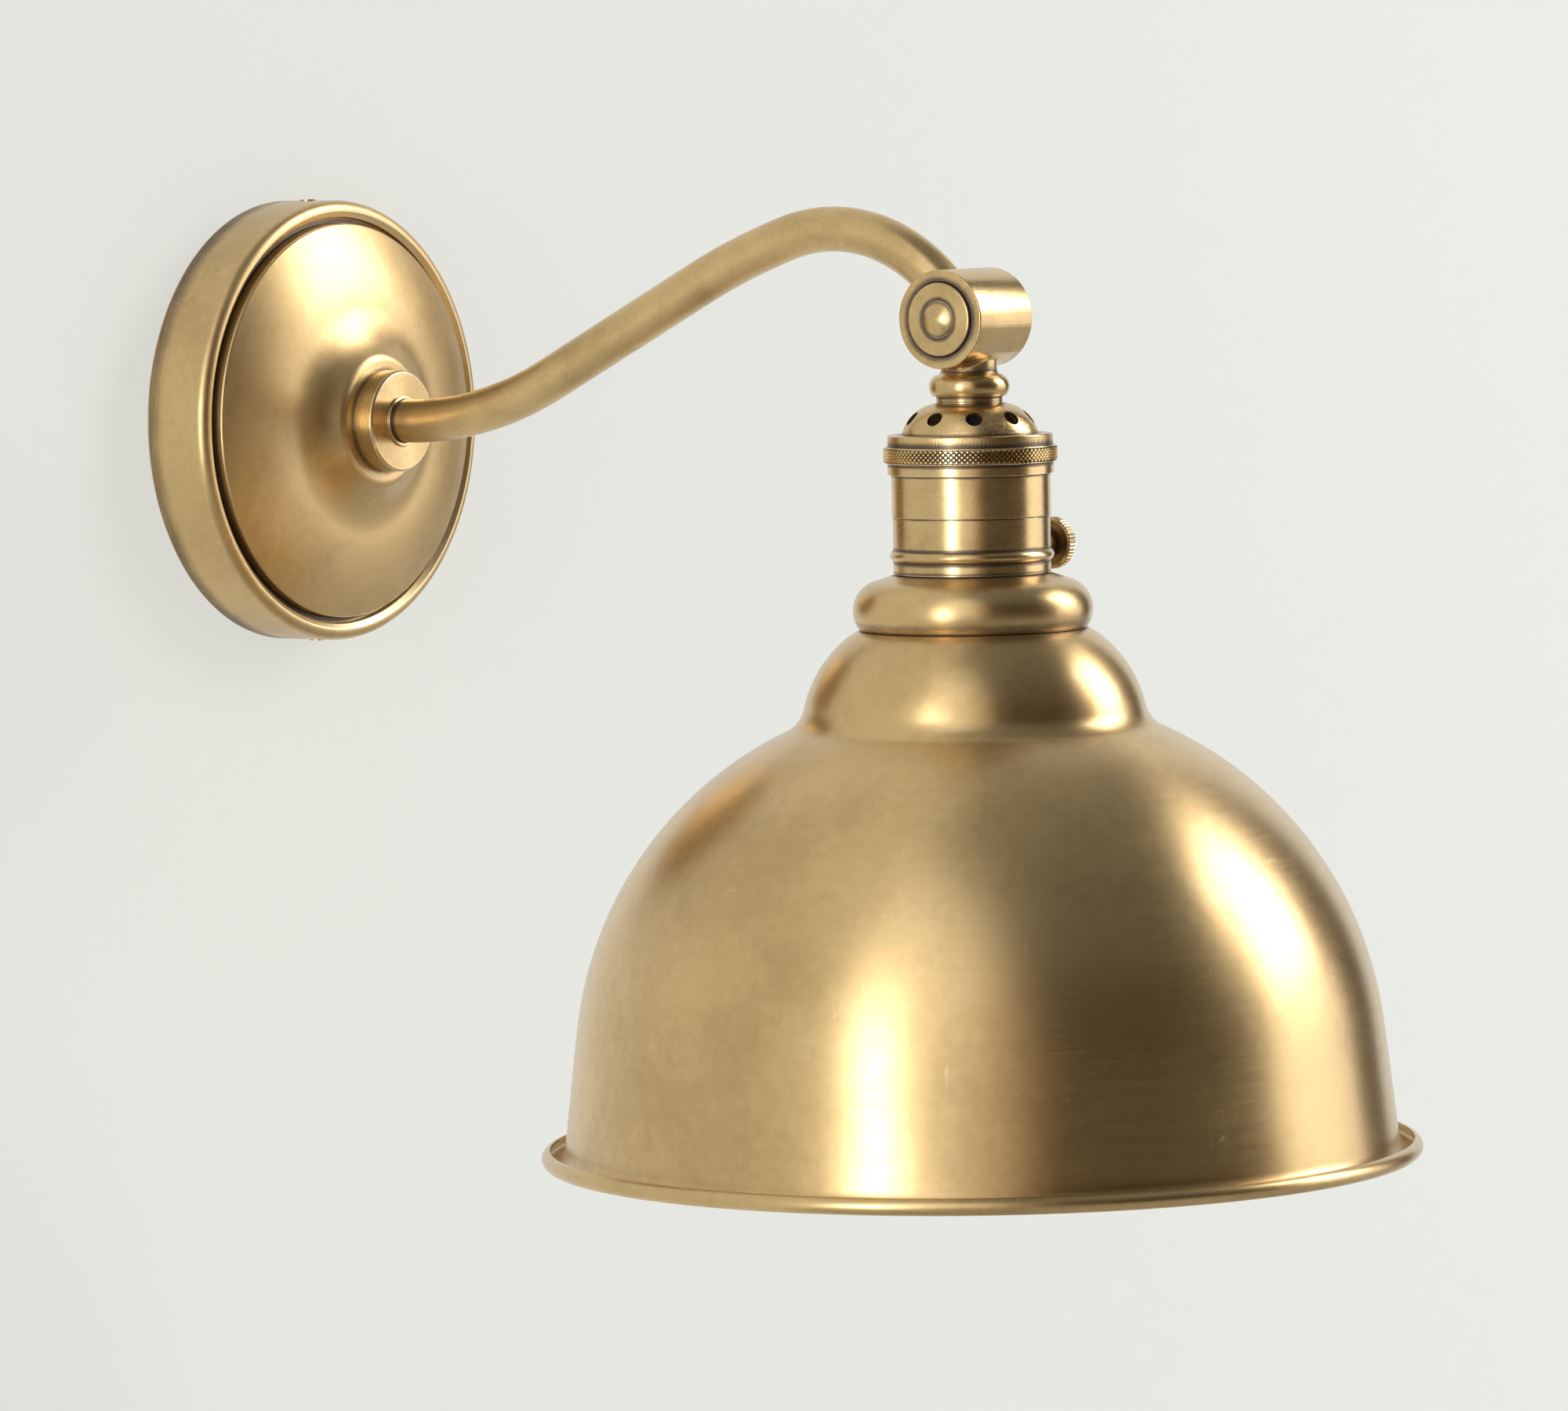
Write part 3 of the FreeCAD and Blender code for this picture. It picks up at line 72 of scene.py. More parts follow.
# Axes of the turned pieces: each takes (x, y, z) of a piece whose axis is Z into the row frame.
ONTO_X = Matrix.Rotation(math.radians(90), 4, "Y")
WALL_AXIS = Matrix(((1, 0, 0, 0), (0, 0, -1, 0), (0, 1, 0, 0), (0, 0, 0, 1)))
HEAD_AXIS = Matrix.Translation((0, -REACH_MM, KNUCKLE_MM))
PIVOT_AXIS = HEAD_AXIS @ ONTO_X
SWITCH_AXIS = Matrix.Translation((0, -REACH_MM, SWITCH_MM)) @ ONTO_X


# Profiles

class Profile:
    """The outline that is turned round an axis, as points of (radius, height) in millimetres."""

    def __init__(self, radius, height):
        self.points = [(radius, height)]

    def line(self, *points):
        """Straight on to each point in turn."""
        self.points.extend(points)
        return self

    def arc(self, radius, height, bend_mm, side):
        """The shorter arc to a point, turning left or right."""
        r0, h0 = self.points[-1]
        dr, dh = radius - r0, height - h0
        chord = math.hypot(dr, dh)
        rise = math.sqrt(max(bend_mm * bend_mm - chord * chord / 4, 0.0)) * side
        cr = (r0 + radius) / 2 - dh / chord * rise
        ch = (h0 + height) / 2 + dr / chord * rise
        first = math.atan2(h0 - ch, r0 - cr)
        sweep = 2 * math.asin(min(chord / 2 / bend_mm, 1.0)) * side
        steps = arc_steps(sweep, bend_mm, 3, 5, ARC_STEP_MM)
        for step in range(1, steps + 1):
            angle = first + sweep * step / steps
            self.points.append((cr + bend_mm * math.cos(angle), ch + bend_mm * math.sin(angle)))
        return self

    def bent(self, heading, bends, depth=0.0, run_mm=math.inf, steps=(3, 4, ARC_STEP_MM)):
        """Runs and bends, at a depth to the right of the line that they describe."""
        for length, bend_mm, turn in bends:
            r0, h0 = self.points[-1]
            angle = math.radians(heading)
            if not turn:
                count = max(1, int(length / run_mm))
                for step in range(1, count + 1):
                    self.points.append((r0 + length * math.cos(angle) * step / count,
                                        h0 + length * math.sin(angle) * step / count))
                continue
            side = LEFT if turn > 0 else RIGHT
            reach = bend_mm + depth * side
            sweep = math.radians(turn)
            count = arc_steps(sweep, reach, *steps)
            for step in range(1, count + 1):
                after = angle + sweep * step / count
                self.points.append((r0 + side * reach * (math.sin(after) - math.sin(angle)),
                                    h0 - side * reach * (math.cos(after) - math.cos(angle))))
            heading += turn
        return self


def arc_steps(sweep, radius_mm, least, most_deg, most_mm):
    turn_steps = math.ceil(abs(math.degrees(sweep)) / most_deg)
    return max(least, turn_steps, math.ceil(abs(sweep) * radius_mm / most_mm))


def run(length_mm):
    return (length_mm, 0.0, 0.0)


def bend(radius_mm, turn):
    return (0.0, radius_mm, turn)


def orientation(points):
    """1 where the outline runs anticlockwise and -1 where it runs clockwise."""
    area = sum(one[0] * two[1] - two[0] * one[1] for one, two in zip(points, points[1:] + points[:1]))
    return 1.0 if area > 0 else -1.0


def softened(points, edge_mm):
    """Rounds each sharp corner by a small edge, and returns (point, rubbed) pairs."""
    way = orientation(points)
    out = []
    for before, here, after in zip(points[-1:] + points[:-1], points, points[1:] + points[:1]):
        coming = math.atan2(here[1] - before[1], here[0] - before[0])
        going = math.atan2(after[1] - here[1], after[0] - here[0])
        turn = (math.degrees(going - coming) + 180) % 360 - 180
        if abs(turn) < CORNER_DEG or here[0] < POLE_MM:
            out.append((here, 0.0))
            continue
        back, ahead = math.dist(before, here), math.dist(here, after)
        cut = min(edge_mm, back * FULL_EDGE, ahead * FULL_EDGE)
        start = [here[axis] + (before[axis] - here[axis]) / back * cut for axis in (0, 1)]
        stop = [here[axis] + (after[axis] - here[axis]) / ahead * cut for axis in (0, 1)]
        rubbed = 1.0 if turn * way > 0 else -1.0
        for step in range(CORNER_STEPS + 1):
            t = step / CORNER_STEPS
            shares = ((1 - t) ** 2, 2 * t * (1 - t), t * t)
            out.append((tuple(shares[0] * start[axis] + shares[1] * here[axis] + shares[2] * stop[axis]
                              for axis in (0, 1)), rubbed))
    return out


def divided(marked, longest_mm):
    """Adds points to long straight parts, so that wear, patina and painted shade have somewhere to lie."""
    out = []
    for (one, rubbed), (two, _) in zip(marked, marked[1:] + marked[:1]):
        length = math.dist(one, two)
        out.append((one, rubbed))
        if length <= longest_mm:
            continue
        near = min(0.35, length / 4)
        pieces = max(1, math.ceil((length - 2 * near) / longest_mm))
        for step in range(pieces + 1):
            t = (near + (length - 2 * near) * step / pieces) / length
            out.append(((one[0] + (two[0] - one[0]) * t, one[1] + (two[1] - one[1]) * t), 0.0))
    return out


# Mesh making

RINGED = {}


def put_in_scene(name, data):
    piece = bpy.data.objects.new(name, data)
    bpy.context.scene.collection.objects.link(piece)
    return piece


def store(mesh, name, values):
    """Writes one value or vector for each vertex as a named attribute."""
    if isinstance(values[0], float):
        mesh.attributes.new(name, "FLOAT", "POINT").data.foreach_set("value", values)
    else:
        data = mesh.attributes.new(name, "FLOAT_VECTOR", "POINT").data
        data.foreach_set("vector", [number for value in values for number in value])


def turned(name, profile, axis, segments, edge_mm, longest_mm, grain_mm=1.5):
    """Turns a profile round an axis into a smooth closed mesh with its own brushing directions."""
    side = orientation(profile.points)
    marked = divided(softened(profile.points, edge_mm), longest_mm)
    points = [point for point, _ in marked]
    count = len(points)
    runs = [0.0]
    for one, two in zip(points, points[1:] + points[:1]):
        runs.append(runs[-1] + math.dist(one, two))
    verts, normals, grain, rings = [], [], [], []
    turn = axis.to_3x3()
    for number, (radius, height) in enumerate(points):
        before, after = points[number - 1], points[(number + 1) % count]
        dr, dh = after[0] - before[0], after[1] - before[1]
        size = math.hypot(dr, dh) or 1.0
        out, up = dh / size * side, -dr / size * side
        pole = radius < POLE_MM
        rings.append([len(verts) + step for step in range(1 if pole else segments)])
        for step in range(len(rings[-1])):
            angle = math.tau * step / segments
            c, s = math.cos(angle), math.sin(angle)
            verts.append(tuple(axis @ Vector((radius * c, radius * s, height)) * MM))
            direction = Vector((0, 0, up)) if pole else Vector((out * c, out * s, up))
            normals.append(tuple((turn @ direction).normalized()))
            grain.append((c * grain_mm, s * grain_mm, runs[number]))
    faces, uvs = [], []
    for number, one in enumerate(rings):
        two = rings[(number + 1) % count]
        v1, v2 = runs[number] / runs[-1], runs[number + 1] / runs[-1]
        if len(one) == 1 and len(two) == 1:
            continue
        for step in range(segments):
            after = (step + 1) % segments
            u1, u2 = step / segments, (step + 1) / segments
            if len(one) == 1:
                faces.append((one[0], two[after], two[step]))
                uvs.extend(((u1 + u2) / 2, v1, u2, v2, u1, v2))
            elif len(two) == 1:
                faces.append((one[step], one[after], two[0]))
                uvs.extend((u1, v1, u2, v1, (u1 + u2) / 2, v2))
            else:
                faces.append((one[step], one[after], two[after], two[step]))
                uvs.extend((u1, v1, u2, v1, u2, v2, u1, v2))
    mesh = bpy.data.meshes.new(name)
    mesh.from_pydata(verts, [], faces)
    mesh.uv_layers.new(name="brushing").data.foreach_set("uv", uvs)
    sample = mesh.polygons[len(mesh.polygons) // 2]
    outwards = sum((Vector(normals[index]) for index in sample.vertices), Vector())
    if Vector(sample.normal).dot(outwards) < 0:
        mesh.flip_normals()
    store(mesh, "grain", grain)
    store(mesh, "rub", [rubbed for ring, (_, rubbed) in zip(rings, marked) for _ in ring])
    mesh.shade_smooth()
    mesh.normals_split_custom_set_from_vertices(normals)
    RINGED[name] = rings
    return put_in_scene(name, mesh)


def unwrapped(mesh, spot):
    """(turn, length) for each face corner from its vertex's (angle, length), unbroken over each face."""
    for face in mesh.polygons:
        first = spot(face.vertices[0])[0]
        for index in face.vertices:
            angle, length = spot(index)
            if angle - first > math.pi:
                angle -= math.tau
            if angle - first < -math.pi:
                angle += math.tau
            yield angle / math.tau, length


def cad_copy(name, node, grain_scale=(1, 1, 1), smooth=32, round_pivot=False):
    """A merged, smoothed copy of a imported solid, with its brushing round the knuckle's axis if asked."""
    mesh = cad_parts[node].data.copy()
    mesh.name = name
    mesh.materials.clear()
    for layer in list(mesh.uv_layers):
        mesh.uv_layers.remove(layer)
    shape = bmesh.new()
    shape.from_mesh(mesh)
    bmesh.ops.remove_doubles(shape, verts=shape.verts, dist=2e-6)
    bmesh.ops.dissolve_degenerate(shape, edges=shape.edges, dist=1e-7)
    shape.to_mesh(mesh)
    shape.free()
    if mesh.has_custom_normals:
        mesh.normals_split_custom_set([(0.0, 0.0, 0.0)] * len(mesh.loops))
    for attribute in [item.name for item in mesh.attributes if item.name in ("custom_normal", "sharp_edge")]:
        mesh.attributes.remove(mesh.attributes[attribute])
    mesh.shade_smooth()
    mesh.set_sharp_from_angle(angle=math.radians(smooth))
    store(mesh, "grain", [tuple(vert.co[axis] / MM * grain_scale[axis] for axis in range(3))
                          for vert in mesh.vertices])
    store(mesh, "rub", [0.0] * len(mesh.vertices))
    layer = mesh.uv_layers.new(name="brushing")

    def spot(index):
        x, y, z = mesh.vertices[index].co
        return math.atan2(z - KNUCKLE_MM * MM, y + REACH_MM * MM), x * 20

    if round_pivot:
        pairs = unwrapped(mesh, spot)
        layer.data.foreach_set("uv", [number for turn, length in pairs for number in (length, turn)])
    return put_in_scene(name, mesh)


def finish_piece(piece, look, body, slot, *nodes):
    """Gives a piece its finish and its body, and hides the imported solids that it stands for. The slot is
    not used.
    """
    piece.data.materials.clear()
    piece.data.materials.append(finish(look))
    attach(piece, body)
    if nodes:
        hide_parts(*nodes)


def dress_turned(axis, segments, edge_mm, longest_mm, body, rows, grain_mm=1.5):
    """Turns and finishes pieces, from rows of (name, profile, node) and a look and slot of their own."""
    for name, outline, node, *own in rows:
        look, slot = own or ("turned", "aged_brass")
        piece = turned(name, outline, axis, segments, edge_mm, longest_mm, grain_mm)
        finish_piece(piece, look, body, slot, node)


def dress_copies(body, rows):
    """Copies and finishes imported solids, from rows of (node, look, slot)."""
    for node, look, slot in rows:
        finish_piece(cad_copy(f"{node}_dressed", node), look, body, slot, node)


# Patina, painted shade and rubbing

RAYS = 20
RAY_START = 4e-5                    # metres off the surface
RING_SPOTS = (0.03, 0.37, 0.71)     # where round a ring its crease is measured

# Seams where patina settles, by axis: radius, height, how far it spreads and how deep it is. The one under
# the neck ring at (28.7, -74.2) and the one round the canopy's drum at the wall at (57.0, 1.0) are painted
# shade.
SEAMS = (
    (PIVOT_AXIS, ((4.6, -13.0, 1.15, 0.64), (9.2, -12.3, 0.85, 0.66))),
    # (57.0, 1.0) darkens the drum towards the wall: painted shade
    (WALL_AXIS, ((57.0, 1.0, 5.0, 0.5), (13.1, 31.7, 1.2, 0.5), (51.0, 15.9, 0.9, 0.75),
                 (6.4, 37.8, 0.6, 0.4))),
    (HEAD_AXIS, ((6.9, -12.9, 0.8, 0.6), (8.3, -19.2, 0.7, 0.6), (8.3, -20.75, 0.9, 0.6),
                 (16.9, -28.2, 0.8, 0.6), (20.3, -31.0, 0.7, 0.8), (20.4, -35.3, 0.9, 0.7),
                 (19.5, -37.95, 0.7, 0.6), (19.4, -48.4, 0.5, 0.7), (19.3, -56.2, 0.7, 0.6),
                 # (28.7, -74.2) darkens the neck ring's underside: painted shade
                 (19.3, -59.3, 0.7, 0.65), (19.1, -62.3, 1.1, 0.7), (28.7, -74.2, 1.8, 0.42),
                 (27.7, -75.9, 0.7, 0.6), (42.9, -98.6, 3.0, 0.2))),
    (SWITCH_AXIS, ((3.5, 20.2, 0.8, 0.8), (1.6, 26.0, 0.8, 0.8), (3.1, 33.3, 0.9, 0.8))),
)


def crease_marks(reach):
    """Marks how deep each vertex lies in a crease, by looking out over the half space above it. The marks
    darken the brass as patina and as painted shade.
    """
    dressed = [item for item in bpy.data.objects if item.type == "MESH" and "rub" in item.data.attributes]
    verts, faces = [], []
    for piece in dressed:
        start = len(verts)
        verts.extend(tuple(vert.co) for vert in piece.data.vertices)
        faces.extend(tuple(start + index for index in face.vertices) for face in piece.data.polygons)
    tree = BVHTree.FromPolygons(verts, faces)
    fan = []
    for number in range(RAYS):
        lift = (number + 0.5) / RAYS
        turn = number * math.pi * (3 - math.sqrt(5))
        flat = math.sqrt(lift)
        fan.append(Vector((flat * math.cos(turn), flat * math.sin(turn), math.sqrt(1 - lift))))

    def depth(vert):
        aim = vert.normal.to_track_quat("Z", "Y")
        origin = vert.co + vert.normal * RAY_START
        hits = (tree.ray_cast(origin, aim @ ray, reach)[3] for ray in fan)
        return sum(1 - distance / reach for distance in hits if distance is not None) / RAYS

    for piece in dressed:
        mesh = piece.data
        rings = RINGED.get(piece.name)
        if rings is None:
            marks = [depth(vert) for vert in mesh.vertices]
        else:
            marks = [0.0] * len(mesh.vertices)
            for ring in rings:
                middle = sorted(depth(mesh.vertices[ring[int(len(ring) * share)]]) for share in RING_SPOTS)[1]
                for index in ring:
                    marks[index] = middle
        settle(mesh.vertices, rings or [[index] for index in range(len(marks))], marks)
        store(mesh, "crease", marks)


def settle(verts, rings, marks):
    """Adds the seams' patina and painted shade to a piece's marks, for each ring or vertex near a seam's
    circle.
    """
    for axis, seams in SEAMS:
        back = axis.inverted()
        for ring in rings:
            x, y, z = back @ (verts[ring[0]].co / MM)
            for radius, height, spread, strength in seams:
                away = math.hypot(math.hypot(x, y) - radius, z - height) / spread
                if away > 2.5:
                    continue
                depth = strength * math.exp(-away * away)
                for index in ring:
                    marks[index] = max(marks[index], depth)


# Nodes

FLOAT, INT, COLOUR = "NodeSocketFloat", "NodeSocketInt", "NodeSocketColor"
SHADER, GEOMETRY = "ShaderNodeTree", "GeometryNodeTree"


class Nodes:
    """Short calls for making and joining nodes in one tree."""

    def __init__(self, tree):
        self.tree = tree

    def feed(self, socket, value):
        """Links a socket, or sets its value."""
        if isinstance(value, bpy.types.NodeSocket):
            self.tree.links.new(value, socket)
        else:
            socket.default_value = value

    def fill(self, sockets, values):
        for key, value in values.items():
            self.feed(sockets[key], value)

    def add(self, kind, values=None, **settings):
        """A new node with its settings, and its inputs filled by name or number."""
        node = self.tree.nodes.new(kind)
        for key, value in settings.items():
            setattr(node, key, value)
        self.fill(node.inputs, values or {})
        return node

    def out(self, kind, values=None, output=0, **settings):
        """One output of a new node."""
        return self.add(kind, values, **settings).outputs[output]

    def math(self, operation, one, two=0.0, clamp=False):
        return self.out("ShaderNodeMath", {0: one, 1: two}, operation=operation, use_clamp=clamp)

    plus = partialmethod(math, "ADD")
    minus = partialmethod(math, "SUBTRACT")
    times = partialmethod(math, "MULTIPLY")
    over = partialmethod(math, "DIVIDE")
    most = partialmethod(math, "MAXIMUM")

    def ramp(self, value, low, high, to_low=0.0, to_high=1.0):
        return self.out("ShaderNodeMapRange", {"Value": value, "From Min": low, "From Max": high,
                                               "To Min": to_low, "To Max": to_high},
                        "Result", interpolation_type="SMOOTHSTEP")

    def noise(self, vector, scale, detail=2.0, roughness=0.5, distortion=0.0):
        return self.out("ShaderNodeTexNoise", {"Vector": vector, "Scale": scale, "Detail": detail,
                                               "Roughness": roughness, "Distortion": distortion}, "Fac")

    def mix(self, share, one, two):
        node = self.add("ShaderNodeMix", {"Factor": share, "A": one, "B": two}, data_type="RGBA")
        return next(socket for socket in node.outputs if socket.type == "RGBA")

    def mix_shaders(self, share, one, two):
        return self.out("ShaderNodeMixShader", {0: share, 1: one, 2: two})

    def bump(self, height, strength, distance=0.0002):
        return self.out("ShaderNodeBump", {"Height": height, "Strength": strength, "Distance": distance})

    def attribute(self, name, output):
        return self.out("ShaderNodeAttribute", None, output, attribute_name=name)

    def position(self):
        return self.out("ShaderNodeTexCoord", None, "Object")

    def stretched(self, vector, scale, turn=(0, 0, 0)):
        return self.out("ShaderNodeMapping", {"Vector": vector, "Scale": scale, "Rotation": turn})

    def split(self, vector):
        return self.add("ShaderNodeSeparateXYZ", {0: vector}).outputs

    def joined(self, *parts):
        return self.out("ShaderNodeCombineXYZ", dict(enumerate(parts)))

    def round_axis(self, angle, radius, height=0.0):
        """A place round the Z axis."""
        return self.joined(self.times(self.math("COSINE", angle), radius),
                           self.times(self.math("SINE", angle), radius), height)


def new_group(kind, name, inputs, outputs):
    """A node group with named sockets: returns it, its nodes, what enters and what leaves."""
    group = bpy.data.node_groups.new(name, kind)
    for label, socket_type, value in inputs:
        socket = group.interface.new_socket(name=label, in_out="INPUT", socket_type=socket_type)
        if value is not None:
            socket.default_value = value
    for label, socket_type in outputs:
        group.interface.new_socket(name=label, in_out="OUTPUT", socket_type=socket_type)
    n = Nodes(group)
    return group, n, n.add("NodeGroupInput").outputs, n.add("NodeGroupOutput").inputs


# Shader groups

def brushing_group():
    """Fine lines left by a brush or a lathe, from the piece's own grain directions."""
    group, n, entry, leave = new_group(SHADER, "Brushed lines", [("Lines per mm", FLOAT, 3.0)],
                                       [("Lines", FLOAT), ("Bands", FLOAT)])
    x, y, z = n.split(n.attribute("grain", "Vector"))

    def lines(density, along, detail):
        return n.noise(n.joined(n.times(x, along), n.times(y, along), n.times(z, density)), 1.0, detail, 0.6)

    n.fill(leave, {"Lines": lines(entry[0], 2.6, 3.0), "Bands": lines(n.times(entry[0], 0.16), 0.9, 2.0)})
    return group


def scratch_group():
    """Sparse hair scratches that wander in every direction."""
    group, n, entry, leave = new_group(SHADER, "Hair scratches", [("Scale", FLOAT, 40.0)],
                                       [("Scratches", FLOAT)])
    found = 0.0
    for number, (turn, stretch) in enumerate((((0.3, 0.8, 0.2), (1, 9, 9)), ((1.1, 0.2, 0.9), (9, 1, 9)),
                                              ((0.6, 1.4, 2.0), (9, 9, 1)))):
        value = n.noise(n.stretched(n.position(), stretch, turn), entry[0], 1.0, 0.4, 0.6)
        near = n.math("ABSOLUTE", n.minus(value, 0.5 + 0.02 * number))
        patch = n.ramp(n.noise(n.position(), 60.0 + 17 * number, 1.0), 0.56, 0.7)
        found = n.most(found, n.times(n.ramp(near, 0.0, 0.006, 1.0, 0.0), patch))
    n.feed(leave[0], found)
    return group


def patina_group():
    """Dark patina and painted shade in the creases, uneven tone over the open metal and bright rubbed edges.
    """
    group, n, entry, leave = new_group(SHADER, "Brass patina", [
        ("Metal", COLOUR, (0.70, 0.50, 0.24, 1)), ("Toned", COLOUR, (0.6, 0.4, 0.2, 1)),
        ("Patina", COLOUR, (0.1, 0.07, 0.06, 1)), ("Patina Reach", FLOAT, 0.5), ("Blotch Size", FLOAT, 40.0),
        ("Lines", FLOAT, 0.5)], [("Color", COLOUR), ("Grime", FLOAT), ("Rubbed", FLOAT)])
    size, lines = entry["Blotch Size"], entry["Lines"]
    crease = n.attribute("crease", "Fac")
    blotch = n.noise(n.position(), size, 4.0, 0.6)
    speck = n.noise(n.position(), n.times(size, 14.0), 2.0, 0.6)
    uneven = n.plus(n.times(n.minus(blotch, 0.5), 0.25), n.times(n.minus(lines, 0.5), 0.25))
    rubbed = n.times(n.ramp(n.attribute("rub", "Fac"), 0.1, 1.0), n.ramp(blotch, 0.3, 0.6, 0.45, 1.0))
    depth = n.plus(crease, n.times(uneven, n.ramp(crease, 0.02, 0.2)))
    low = n.minus(0.36, n.times(entry["Patina Reach"], 0.32))
    shade_and_patina = n.times(n.ramp(depth, low, n.plus(low, 0.42)), n.minus(1.0, n.times(rubbed, 0.85)))
    tone = n.ramp(n.plus(blotch, n.times(n.minus(speck, 0.5), 0.3)), 0.35, 0.72)
    body = n.mix(tone, entry["Metal"], entry["Toned"])
    body = n.mix(n.math("MULTIPLY", n.minus(lines, 0.35), 0.30, True), body, entry["Toned"])
    # Rubbed edges and knurl tips are lightened: worn bare brass, and on the knurls partly a painted highlight
    body = n.mix(n.times(rubbed, 0.5), body, (0.92, 0.76, 0.46, 1))
    # The patina colour laid in creases and seams: partly real patina, partly painted shade
    body = n.mix(n.times(shade_and_patina, 0.9), body, entry["Patina"])
    n.fill(leave, {"Color": body, "Grime": shade_and_patina, "Rubbed": rubbed})
    return group


# Finishes

GROUPS = {}
FINISHES = {}

# Title, roughness over the panel's, anisotropy, brush lines per mm, how far patina and painted shade reach,
# blotch size, depth of the lines, scratches
BRASSES = {
    "spun": ("Spun aged brass", 0.07, 0.66, 2.2, 0.45, 22.0, 0.06, 0.5),
    "canopy": ("Pressed canopy brass", 0.12, 0.35, 2.6, 0.5, 30.0, 0.06, 0.5),
    "turned": ("Turned fitting brass", 0.02, 0.66, 3.4, 0.55, 80.0, 0.04, 0.0),
    "tube": ("Arm tube brass", 0.06, 0.3, 2.4, 0.55, 70.0, 0.08, 0.3),
    "barrel": ("Knuckle barrel brass", 0.0, 0.1, 2.4, 0.55, 90.0, 0.12, 0.0),
    "knurl": ("Knurled brass", -0.02, 0.0, 3.0, 0.9, 120.0, 0.02, 0.0),
    "knob": ("Darkened knob brass", 0.06, 0.3, 3.4, 0.7, 80.0, 0.08, 0.0),
}
# Title, colour, roughness, metallic, coat, blotch size, how far the tone spreads
PLAINS = {
    "bright": ("Bright turned brass", (0.76, 0.58, 0.30, 1), 0.25, 1.0),
    "zinc": ("Zinc plated steel", (0.62, 0.62, 0.60, 1), 0.38, 1.0),
    # Near-black zinc for the nut and washer inside the cap: painted shade in the closed cap
    "cap_shade_zinc": ("Dulled zinc in the cap", (0.10, 0.09, 0.08, 1), 0.6, 1.0),
    "green": ("Green dyed screw", (0.05, 0.30, 0.12, 1), 0.35, 0.6),
    "porcelain": ("Glazed porcelain", (0.82, 0.79, 0.72, 1), 0.22, 0.0, 0.6, 90.0, 0.05),
    "fibre": ("Vulcanised fibre", (0.10, 0.085, 0.075, 1), 0.7, 0.0, 0.0, 150.0, 0.2),
}


def new_material(title):
    """A material, short calls for its nodes, and its skin."""
    material = bpy.data.materials.new(title)
    material.use_nodes = True
    return material, Nodes(material.node_tree), material.node_tree.nodes["Principled BSDF"]


def brass(colours, title, rough, anisotropy, lines, reach, blotch, line_depth, scratch):
    """An aged brass finish with brushing, patina and rubbed edges at its own strengths."""
    material, n, skin = new_material(title)
    brush = n.add("ShaderNodeGroup", {"Lines per mm": lines}, node_tree=GROUPS["brushing"]).outputs
    metal, toned, patina = colours
    age = n.add("ShaderNodeGroup", {"Metal": metal, "Toned": toned, "Patina": patina, "Patina Reach": reach,
                                    "Blotch Size": blotch, "Lines": brush["Lines"]},
                node_tree=GROUPS["patina"]).outputs
    colour = age["Color"]
    worn = n.minus(n.times(n.minus(brush["Bands"], 0.5), 0.05), n.times(age["Rubbed"], 0.06))
    gloss = n.plus(n.plus(worn, rough), n.times(age["Grime"], 0.16))
    gloss = n.plus(gloss, n.times(n.minus(brush["Lines"], 0.5), 0.11))
    if scratch:
        marks = n.out("ShaderNodeGroup", node_tree=GROUPS["scratches"])
        gloss = n.plus(gloss, n.times(marks, scratch * 0.16))
        # Scratches are lightened: bare metal, and partly a painted highlight where they catch the light
        colour = n.mix(n.times(marks, scratch * 0.6), colour, (0.95, 0.84, 0.60, 1))
    n.fill(skin.inputs, {
        "Base Color": colour, "Roughness": n.most(gloss, 0.08), "Metallic": 1.0, "Coat Weight": 0.3,
        "Coat Roughness": 0.2, "Anisotropic": anisotropy, "Anisotropic Rotation": 0.25,
        "Normal": n.bump(brush["Lines"], line_depth),
        "Tangent": n.out("ShaderNodeTangent", direction_type="UV_MAP", uv_map="brushing")})
    return material


def plain(title, colour, rough, metallic, coat=0.0, blotch=60.0, spread=0.12):
    """A quiet finish for the pieces inside: slight unevenness of tone and gloss."""
    material, n, skin = new_material(title)
    speck = n.noise(n.position(), blotch * 20, 2.0, 0.5)
    cloud = n.plus(n.times(n.noise(n.position(), blotch, 5.0, 0.6), 0.8), n.times(speck, 0.2))
    dark = tuple(channel * (1 - 2.5 * spread) for channel in colour[:3]) + (1,)
    n.fill(skin.inputs, {
        "Base Color": n.mix(n.ramp(cloud, 0.35, 0.7), colour, dark), "Metallic": metallic,
        "Roughness": n.plus(n.times(n.minus(speck, 0.5), 0.3), rough), "Coat Weight": coat,
        "Normal": n.bump(speck, 0.08)})
    return material


def finish(name):
    """Each finish is made once, the brasses from the colours in the panel."""
    if name in FINISHES:
        return FINISHES[name]
    if not GROUPS:
        GROUPS.update(brushing=brushing_group(), scratches=scratch_group(), patina=patina_group())
    look = bpy.context.scene.sconce_finish
    metal, toned, patina = (tuple(colour) + (1,) for colour in (look.metal, look.toned, look.patina))
    if name in PLAINS:
        FINISHES[name] = plain(*PLAINS[name])
    else:
        # The knurl's pale metal and near-black patina are partly wear and patina, partly a painted highlight
        # on its tips and painted shade between them.
        colours = {"knurl": ((0.80, 0.62, 0.34, 1), metal, (0.02, 0.014, 0.011, 1)),
                   "knob": ((0.33, 0.22, 0.10, 1), (0.20, 0.13, 0.06, 1), patina)}
        colours = colours.get(name, (metal, toned, patina))
        title, rougher, *rest = BRASSES[name]
        FINISHES[name] = brass(colours, title, look.roughness + rougher, *rest)
    return FINISHES[name]


# Geometry node trees

